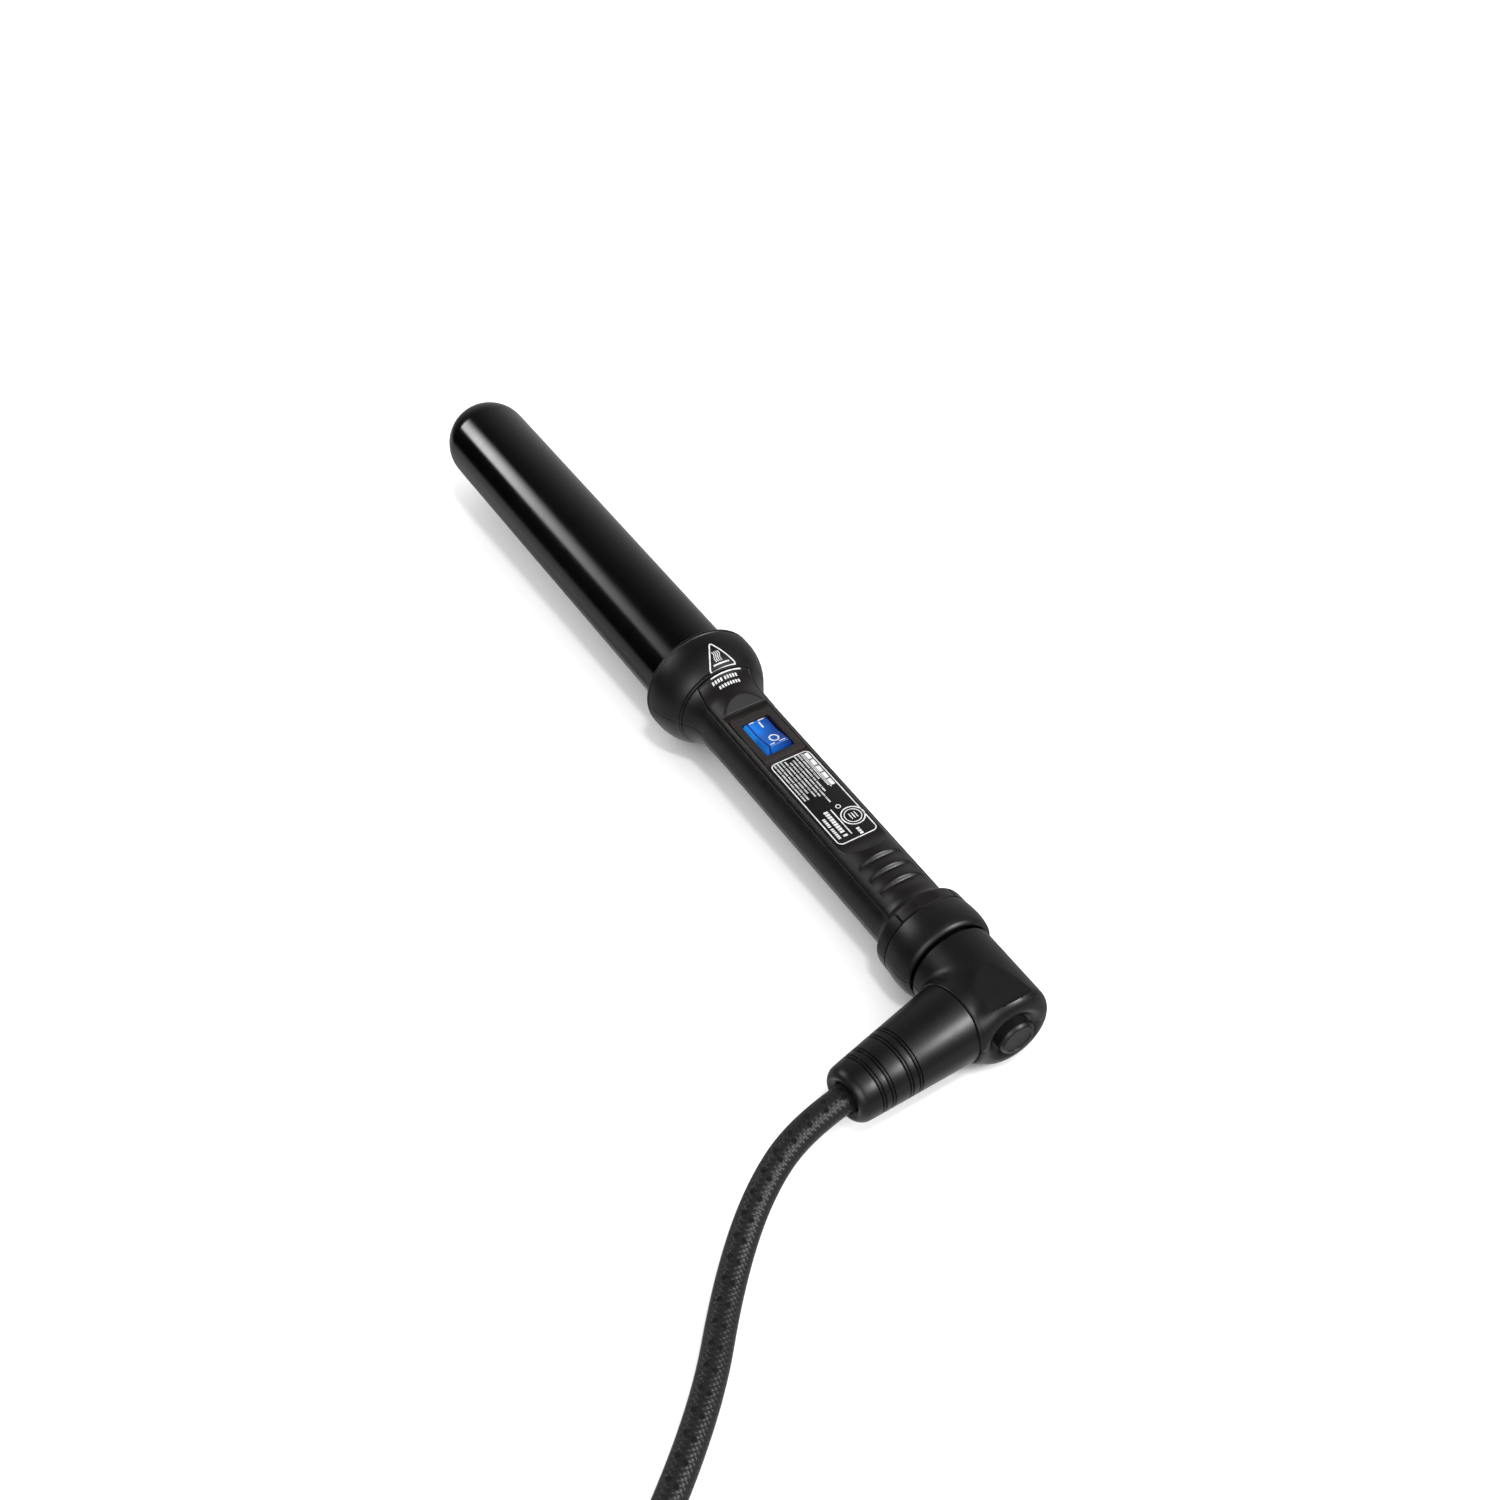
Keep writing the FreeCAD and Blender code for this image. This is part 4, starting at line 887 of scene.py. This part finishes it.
def make_cover():
    xs = sampled((16.35, 25.3, 22), (25.3, 30.1, 34), (30.1, 30.6, 8), (30.6, HOLE_X[0], 6), (*HOLE_X, 24),
                 (HOLE_X[1], 98, 30), (98, 107, 44), (107, 125, 150), (125, 134.95, 40))
    rim = (COVER_HALF - np.array([0.28, 0.13, 0.04, 0.0])).round(4)
    inner = sampled((-9.0, -HOLE_Y, 6), (-HOLE_Y, HOLE_Y, 64), (HOLE_Y, 9.0, 6))
    ys = np.concatenate([-rim[::-1], inner, rim])
    x, y = np.meshgrid(xs, ys, indexing="ij")
    edge = np.clip((np.abs(y) - COVER_HALF + 0.3) / 0.3, 0, 1)
    end = np.clip(np.maximum(16.6 - x, x - 134.75) / 0.25, 0, 1)
    top = cover_top(x, y) - 0.3 * (1 - np.sqrt(1 - edge ** 2)) - 0.2 * (1 - np.sqrt(1 - end ** 2))
    hollow = np.sqrt(np.maximum(GRIP_INSIDE ** 2 - y * y, 0))
    bottom = np.where((x < 25.4) | (x > 105.4), np.maximum(hollow, UNDERSIDE_Z), UNDERSIDE_Z)
    bottom = np.minimum(bottom, top - 0.6)
    vertices = np.concatenate([np.stack([x, y, z], axis=-1).reshape(-1, 3) for z in (top, bottom)])
    rows, columns = x.shape
    upper = np.arange(rows * columns).reshape(rows, columns)
    lower = upper + rows * columns
    middle_x = (xs[:-1] + xs[1:]) / 2
    middle_y = (ys[:-1] + ys[1:]) / 2
    beside_hole = (middle_x < HOLE_X[0]) | (middle_x > HOLE_X[1])
    solid = beside_hole[:, None] | (np.abs(middle_y) > HOLE_Y)[None, :]
    padded = np.zeros((rows + 1, columns + 1), bool)
    padded[1:-1, 1:-1] = solid
    faces = []
    for i, j in np.argwhere(solid):
        a, b, c, d = (i, j), (i + 1, j), (i + 1, j + 1), (i, j + 1)
        faces.append([upper[k] for k in (a, b, c, d)])
        faces.append([lower[k] for k in (d, c, b, a)])
        sides = (((i, j + 1), a, d), ((i + 2, j + 1), c, b), ((i + 1, j), b, a), ((i + 1, j + 2), d, c))
        for neighbour, start, stop in sides:
            if not padded[neighbour]:
                faces.append([upper[start], upper[stop], lower[stop], lower[start]])
    faces = np.array(faces)
    used = np.zeros(len(vertices), bool)
    used[faces.ravel()] = True
    number = np.cumsum(used) - 1
    add_piece("cover_strip", (vertices[used], number[faces].tolist()), "cover_black", "wand", ("top_cover",),
              sharp=28)


make_cover()


# ---- rocker switch

SWITCH_X = 44.5
ROCKER_POSE = (WAND @ Matrix.Translation(Vector((SWITCH_X, 0, 7.2)) * MM)
               @ Matrix.Rotation(math.radians(-7.0), 4, "Y"))


def rounded_loop(half_x, half_y, radius, z, centre=(0.0, 0.0), steps=5):
    """A level loop of points round a rectangle with rounded corners."""
    points = []
    for sign_x, sign_y, start in ((1, 1, 0), (-1, 1, 90), (-1, -1, 180), (1, -1, 270)):
        for turn in np.radians(np.linspace(start, start + 90, steps)):
            points.append((centre[0] + sign_x * (half_x - radius) + radius * math.cos(turn),
                           centre[1] + sign_y * (half_y - radius) + radius * math.sin(turn), z))
    return points


def make_housing():
    """The switch's body and bezel: up the outside, over the rim and down into the opening."""
    loops = [
        (9.7, 6.4, 0.4, -3.0), (9.7, 6.4, 0.4, 8.7), (11.2, 7.6, 0.4, 8.7), (11.3, 7.7, 0.5, 8.8),
        (11.3, 7.7, 0.5, 9.75), (11.22, 7.62, 0.5, 9.92), (11.05, 7.45, 0.45, 10.0),
        (8.55, 5.5, 0.5, 10.0), (8.38, 5.32, 0.45, 9.93), (8.3, 5.22, 0.4, 9.75),
        (8.25, 5.2, 0.4, 8.0), (8.25, 5.2, 0.4, -1.0), (8.05, 5.0, 0.3, -1.2),
    ]
    shape = skinned([rounded_loop(*loop, (SWITCH_X, 0.0)) for loop in loops])
    add_piece("switch_frame", shape, "bezel_black", "wand", ("switch_housing",), sharp=30)


def rocker_crown(x):
    """The height of the rocker's shallow V top over its pivot."""
    return 2.88 + 0.118 * np.sqrt(x * x + 0.35)


def rocker_field(x, y, z):
    """The rocker: a round-bottomed key with bevelled sides and a groove beside one, on two trunnions."""
    key = soft_max(np.hypot(x, z) - 7.95, z - rocker_crown(x), 0.45)
    bevel = np.clip(z - rocker_crown(x) + 1.7, 0, 2)
    key = soft_max(key, np.abs(y) - 4.6 + 0.5 * bevel, 0.2)
    key = key + 0.45 * np.exp(-((y + 3.3) / 0.26) ** 2)
    key = soft_max(key, -2.6 - z, 0.3)
    trunnions = np.maximum(np.hypot(x, z) - 1.0, np.abs(y) - 5.8)
    return soft_min(key, trunnions, 0.1)


def make_rocker():
    *shape, normals = sculpted(rocker_field, (-8, -5.9, -3), (8, 5.9, 4.2), 0.16)
    add_piece("rocker_button", shape, "rocker_blue", "rocker_key", ("rocker",), ROCKER_POSE, normals=normals)


make_housing()
make_rocker()


# ---- label and prints

LABEL_MIDDLE = (77.7, 0.0)
LABEL_TOP = 9.9


def make_label():
    loops = [(20.55, 7.4, 1.9, 9.66), (20.7, 7.55, 2.0, 9.7), (20.7, 7.55, 2.0, 9.84),
             (20.6, 7.45, 1.95, LABEL_TOP)]
    shape = skinned([rounded_loop(*loop, LABEL_MIDDLE, 8) for loop in loops])
    add_piece("data_label", shape, "label_print", "wand", ("rating_label",))


class StrokeMarks:
    """Printed marks, and painted highlights drawn the same way: thin closed strokes that follow a surface's
    height.
    """

    def __init__(self, height, proud=0.03, deep=0.05):
        self.height, self.proud, self.deep = height, proud, deep
        self.strokes = []

    def stroke(self, path, width, closed=False):
        path = np.asarray(path, float)
        if closed:
            ahead = np.roll(path, -1, axis=0) - np.roll(path, 1, axis=0)
        else:
            ahead = np.gradient(path, axis=0)
        ahead /= np.linalg.norm(ahead, axis=1)[:, None]
        side = np.stack([-ahead[:, 1], ahead[:, 0]], axis=1) * width / 2
        rows = []
        for place, out in zip(path, side):
            row = []
            for edge, lifts in ((place + out, (-self.deep, self.proud)),
                                (place - out, (self.proud, -self.deep))):
                row += [(*edge, float(self.height(*edge)) + lift) for lift in lifts]
            rows.append(row)
        self.strokes.append(skinned(rows, closed_ends=closed))

    def bar(self, start, end, width, steps=2):
        start, end = np.array(start, float), np.array(end, float)
        self.stroke([start + (end - start) * t for t in np.linspace(0, 1, steps)], width)

    def ring(self, centre, radius, width, squash=1.0):
        turns = np.linspace(0, 2 * math.pi, 49)[:-1]
        around = np.stack([radius * np.cos(turns), radius * squash * np.sin(turns)], axis=1)
        self.stroke(centre + around, width, closed=True)

    def words(self, start, end, across, tall, letter, gap, counts, along="x"):
        """A row of blank blocks in groups, as long as the words that they stand for."""
        at = start
        for count in counts:
            for _ in range(count):
                if at + letter > end:
                    return
                ends = [(place, across)[::1 if along == "x" else -1] for place in (at, at + letter)]
                self.bar(*ends, tall)
                at += letter + gap
            at += letter * 0.8

    def made(self, name, slot, body, pose=WAND):
        return add_piece(name, joined(self.strokes), slot, body, pose=pose, sharp=20, finish=WHITE_INK_AND_HIGHLIGHT)


def rounded_path(corners, radius):
    """A closed path round some corners, each rounded."""
    corners = [np.array(c, float) for c in corners]
    path = []
    for before, here, after in zip(corners[-1:] + corners[:-1], corners, corners[1:] + corners[:1]):
        start = here + (before - here) / np.linalg.norm(before - here) * radius
        end = here + (after - here) / np.linalg.norm(after - here) * radius
        path += [(1 - t) ** 2 * start + 2 * t * (1 - t) * here + t ** 2 * end for t in np.linspace(0, 1, 6)]
    return path


def make_label_print():
    """The label's border, bars for a name, rows of small blocks, and a plain double ring with bars."""
    marks = StrokeMarks(lambda x, y: LABEL_TOP)
    marks.stroke([p[:2] for p in rounded_loop(20.2, 7.05, 1.7, 0, LABEL_MIDDLE, 8)], 0.38, closed=True)
    marks.words(58.4, 75.6, 5.75, 1.35, 2.9, 0.45, (5,))
    marks.bar((58.2, 4.7), (75.2, 4.7), 0.26)
    marks.bar((58.0, 4.15), (74.2, 4.15), 0.26)
    rows = (
        (3.2, 58.0, 72.5, (5, 7, 3, 6)),
        (1.9, 58.0, 79.6, (4, 6, 8, 3, 5, 4)),
        (0.6, 59.2, 81.9, (6, 3, 7, 5, 4, 6, 5)),
        (-0.7, 59.6, 80.2, (3, 6, 4, 8, 5, 3)),
        (-2.0, 58.4, 82.4, (4, 7, 5, 6, 3, 5)),
        (-3.3, 57.9, 79.0, (5, 8, 4, 6, 4)),
        (-4.6, 57.9, 82.6, (7, 4, 6, 5, 3, 6)),
        (-5.8, 57.9, 81.4, (3, 5, 8, 4, 6, 5)),
    )
    for across, start, end, counts in rows:
        marks.words(start, end, across, 0.58, 0.34, 0.22, counts)
    marks.ring((83.7, 1.6), 0.75, 0.3)
    marks.ring((89.3, 3.45), 3.75, 0.42)
    marks.ring((89.3, 3.45), 2.75, 0.32)
    for shift in (-0.9, 0.1, 1.1):
        marks.bar((88.0, 3.45 + shift), (90.6, 3.45 + shift), 0.36)
    marks.words(94.3, 97.3, 1.7, 1.1, 0.8, 0.25, (3,))
    marks.bar((83.7, -1.15), (95.6, -1.15), 0.4)
    marks.words(83.7, 95.6, -3.2, 1.5, 0.85, 0.3, (9, 2))
    marks.words(86.0, 95.6, -5.4, 1.0, 0.6, 0.25, (5, 6))
    marks.made("label_marks", "label_print", "wand")


# the middle of the arc that the guard's outline follows behind its rim
GUARD_MIDDLE = (3.485, 1.507)


def guard_height(x, y):
    """The height of the guard, and behind its seam of the cover."""
    if x > SEAM_X:
        return cover_top(x, y)
    outer = GUARD_MIDDLE[1] + math.sqrt(GUARD_ARC ** 2 - (x - GUARD_MIDDLE[0]) ** 2)
    return math.sqrt(outer ** 2 - y * y)


def make_guard_print():
    """A plain rounded triangle with four wavy lines, a rule below it, and two rows of blocks."""
    marks = StrokeMarks(guard_height, 0.035, 0.08)
    triangle = rounded_path([(6.4, 0.9), (15.25, 6.2), (15.6, -4.1)], 1.3)
    dense = []
    for start, end in zip(triangle, triangle[1:] + triangle[:1]):
        count = max(int(np.linalg.norm(end - start) / 0.6), 1)
        dense += [start + (end - start) * i / count for i in range(count)]
    marks.stroke(dense, 0.46, closed=True)
    t = np.linspace(0, 1, 13)
    for shift in (-0.35, 0.35, 1.05, 1.75):
        wave = shift + 0.28 * np.sin(t * 2 * math.pi) + 0.1 * t
        marks.stroke(np.stack([9.9 + t * 3.4, wave], axis=1), 0.26)
    marks.bar((14.05, -1.9), (13.95, 4.0), 0.42, 8)
    marks.bar((16.85, -4.7), (16.75, 6.7), 0.36, 14)
    marks.words(-5.0, 7.0, 18.35, 1.1, 0.6, 0.42, (4, 5), along="y")
    marks.words(-3.6, 6.6, 20.5, 1.1, 0.6, 0.42, (8,), along="y")
    marks.made("guard_marks", "soft_touch_black", "wand")


def make_rocker_marks():
    """The rocker's bar for on and ring for off, and at each end a broken line that is a painted highlight
    along the key's end edge.
    """
    marks = StrokeMarks(lambda x, y: rocker_crown(x), 0.06, 0.06)
    marks.bar((-5.9, 0.5), (-3.0, 0.5), 0.5, 5)
    # painted highlights: broken white lines along both end edges of the key
    for end in (-6.6, 6.6):
        marks.bar((end, -2.7), (end, -1.0), 0.36, 3)
        marks.bar((end, 0.6), (end, 2.9), 0.36, 3)
    marks.ring((3.8, 0.4), 1.8, 0.5, 0.78)
    marks.made("rocker_marks_and_highlights", "rocker_blue", "rocker_key", ROCKER_POSE)


make_label()
make_label_print()
make_guard_print()
make_rocker_marks()


# ---- elbow and boot

COS_LEAN, SIN_LEAN = math.cos(LEAN), math.sin(LEAN)
HUB_START, HUB_END, HUB_RADIUS, HUB_ROUND = 147.4, 178.0, 14.0, 4.6
FACET_TILT = 0.165
DISH_X = 176.4


def elbow_field(x, y, z):
    """The elbow's body: the hub, the stub blended into it, the facet on top, the dished end, all hollow."""
    r = np.hypot(y, z)
    reach = (x - BOOT_X) * SIN_LEAN - y * COS_LEAN
    away = np.hypot((x - BOOT_X) * COS_LEAN + y * SIN_LEAN, z)
    over_x, over_r = x - (HUB_END - HUB_ROUND), r - (HUB_RADIUS - HUB_ROUND)
    hub = np.hypot(np.maximum(over_x, 0), np.maximum(over_r, 0)) + np.minimum(np.maximum(over_x, over_r), 0)
    hub = soft_max(hub - HUB_ROUND, HUB_START - x, 0.5)
    stub = soft_max(away - 13.1, reach - 13.0, 0.7)
    stub = np.maximum(stub, -reach)
    body = soft_min(hub, stub, 2.2)
    body = np.maximum(body, HUB_START - x)
    plane = (z - HUB_RADIUS + FACET_TILT * (x - 161.7)) / math.hypot(1, FACET_TILT)
    wall = x - (175.0 + 0.9 * (1 - (y / 6.5) ** 2))
    body = soft_max(body, -soft_max(-plane, wall, 0.45), 0.16)
    dish = soft_max((r - 6.6 - (x - DISH_X) * 1.25) / 1.6, DISH_X - x, 0.3)
    body = soft_max(body, -dish, 0.8)
    body = np.maximum(body, -np.maximum(r - 5.95, 174.7 - x))
    neck = soft_max(r - 10.7, np.maximum(141.1 - x, x - 150), 0.3)
    body = np.minimum(body, neck)
    inside = np.maximum(r - 11.6, np.maximum(148.3 - x, x - 170.0))
    bore = np.maximum(r - 9.4, x - 149.0)
    throat = np.maximum(away - 8.65, -reach)
    mouth = np.maximum(away - 12.65, 13.0 - reach)
    for hole in (inside, bore, throat, mouth):
        body = np.maximum(body, -hole)
    return body


def make_elbow():
    for half, sign, (low, high) in (("upper", 1, (0.0, 14.1)), ("lower", -1, (-14.1, 0.0))):
        def field(x, y, z, sign=sign):
            return soft_max(elbow_field(x, y, z), 0.04 - sign * z, 0.4)
        *shape, normals = sculpted(field, (141, -15.5, low), (179.2, 14.1, high), 0.35)
        piece = add_piece("elbow_" + half + "_half", shape, "soft_touch_black", "cord_elbow",
                          ("elbow_" + half + "_shell",), normals=normals)
        if half == "lower":
            carved(piece, [well_cutter(x, 8.2, -14.1, 2.0, 3.9, "cord_elbow") for x in (152.4, 170.0)])


def boot_side(s):
    """The boot's outside radius along its own axis."""
    return 12.6 - 3.6 * (s - 13.05) / (51.2 - 13.05)


def make_boot():
    corners = [(8.6, 4.3), (8.6, 8.55, 0, 0.3), (13.05, 8.55), (13.05, 12.6, 0, 0.35)]
    for at in (34.2, 37.4, 43.6, 46.8):
        for middle in (at - 0.5, at + 0.5):
            for shift, depth in ((-0.26, 0.0), (-0.13, 0.55), (0.13, 0.55), (0.26, 0.0)):
                corners.append((middle + shift, boot_side(middle) - depth, 0, 0.05 if depth else 0.1))
    corners += [(50.6, boot_side(50.6), 0, 1.0), (54.0, 7.0, -4.2, 0.8), (53.4, 5.4, 0, 0.6),
                (52.4, 4.6, 0, 0.3), (50.5, 4.3)]
    lathe("boot", corners, "boot_rubber", "cord_elbow", ("strain_relief_boot",), pose=BOOT, step=3)


CAP = [(174.8, 0), (174.8, 5.9), (179.3, 5.9, 0, 0.3), (180.3, 5.1, 0, 0.35), (180.3, 4.3, 0, 0.15),
       (180.0, 4.15, 0, 0.15), (180.05, 0)]
make_elbow()
lathe("elbow_end_cap", CAP, "soft_touch_black", "cord_elbow", ("elbow_cap",), step=5)
make_boot()


# ---- floor and light

ELBOW_MIDDLE = Vector((0.17, -0.03, 0.02))


def make_floor():
    mesh = bpy.data.meshes.new("floor")
    angles = np.linspace(0, 2 * math.pi, 97)[:-1]
    mesh.from_pydata([(4 * math.cos(a), 4 * math.sin(a), 0) for a in angles], [], [list(range(96))])
    finish = Finish("floor_white")
    colour = finish.clouded(finish.noise(3, 3), (231, 231, 231), (234, 234, 234))
    sheen = finish.between(finish.noise(40, 3), 0.75, 0.85)
    mesh.materials.append(finish.made(Base_Color=colour, Roughness=sheen, Specular_IOR_Level=0.1))
    floor = placed("floor", mesh)
    floor.visible_glossy = False


def towards(azimuth, elevation):
    """A unit vector from its compass angle, from +X towards +Y, and its height, in degrees."""
    a, e = math.radians(azimuth), math.radians(elevation)
    return Vector((math.cos(a) * math.cos(e), math.sin(a) * math.cos(e), math.sin(e)))


def make_world():
    """Even soft light for what scatters it, and for what mirrors it a dark studio.

    The studio has a pale floor with the wand's shadow, a pale wall, a strip light and three soft patches.
    """
    world = bpy.data.worlds.new("studio")
    bpy.context.scene.world = world
    world.use_nodes = True
    world.cycles.sampling_method = "NONE"
    world.node_tree.nodes.clear()
    tree = Tree(world.node_tree)
    direction = tree.node("ShaderNodeTexCoord").outputs["Generated"]

    def toward(vector):
        dot = tree.node("ShaderNodeVectorMath", {0: direction, 1: vector}, operation="DOT_PRODUCT")
        return dot.outputs["Value"]

    def eased(value, start, end, low=0.0, high=1.0):
        """Eases from low to high as the value goes from start to end."""
        return tree.between(value, low, high, start, end, interpolation_type="SMOOTHSTEP")

    def bell(value, width):
        """One at zero, falling off to both sides over a width."""
        share = tree.times(value, 1 / width)
        return tree.math("EXPONENT", tree.times(share, share, -0.5))

    def patch(azimuth, elevation, width, peak):
        """A soft round patch of light: its compass angle, height, width and middle's brightness."""
        off = tree.math("ARCCOSINE", toward(towards(azimuth, elevation)))
        return tree.times(bell(off, math.radians(width)), peak)

    wall = tree.between(toward(towards(140, 0)), 0.0, 1.0, 0.2, 1.0)
    wall = tree.times(tree.math("POWER", wall, 2.0), 0.46)
    downward = toward((0, 0, -1))
    shadow = tree.times(bell(tree.plus(downward, -0.656), 0.06), 0.5)
    floor = tree.times(eased(downward, 0.14, 0.30, high=0.45), tree.math("SUBTRACT", 1.0, shadow))
    floor = tree.plus(floor, eased(downward, 0.70, 0.86, high=0.30))

    # the strip: its near side is a hard edge, its far side and its end fade out
    middle = towards(-147, 25.5)
    down = (towards(-144, 22) - towards(-149, 29)).normalized()
    along = tree.times(toward(down.cross(middle)), -180 / math.pi)
    across = tree.times(toward(down), 180 / math.pi)
    fading = tree.math("EXPONENT", tree.times(tree.math("MAXIMUM", along, 0.0), -1 / 6.5))
    strip = tree.times(eased(across, -19, -1), eased(across, 3, 9, 1.0, 0.0), fading, eased(along, -5, -2),
                       eased(toward(middle), 0.5, 0.6, high=12.0))

    mirrored = tree.plus(tree.math("MAXIMUM", floor, wall), patch(-128, 40, 15, 0.1),
                         patch(-40, 30, 12, 6.0), patch(50, 62, 12, 1.1), strip)
    glossy = tree.node("ShaderNodeLightPath").outputs["Is Glossy Ray"]
    strength = tree.node("ShaderNodeMix", {0: glossy, 2: 1.5, 3: mirrored}, data_type="FLOAT").outputs[0]
    background = tree.node("ShaderNodeBackground", {"Strength": strength, "Color": (1, 1, 1, 1)})
    tree.node("ShaderNodeOutputWorld", {0: background.outputs[0]})


def make_key():
    """A nearly overhead key light that draws the short soft shadow under the wand."""
    data = bpy.data.lights.new("key", "SUN")
    data.energy = 1.0
    data.angle = math.radians(7.0)
    key = placed("key", data)
    key.rotation_mode = "QUATERNION"
    key.rotation_quaternion = towards(-8, 70).to_track_quat("Z", "Y")
    key.visible_glossy = False


def make_softbox(target, direction, distance, size, power):
    """A soft round light that faces a target."""
    data = bpy.data.lights.new("softbox", "AREA")
    data.shape = "DISK"
    data.size = size
    data.energy = power
    lamp = placed("softbox", data)
    lamp.rotation_mode = "QUATERNION"
    lamp.location = target + direction * distance
    lamp.rotation_quaternion = direction.to_track_quat("Z", "Y")
    lamp.visible_camera = False


make_floor()
make_world()
make_key()
make_softbox(ELBOW_MIDDLE, towards(40, 37), 1.5, 0.5, 18)
bpy.context.scene.view_settings.view_transform = "Standard"
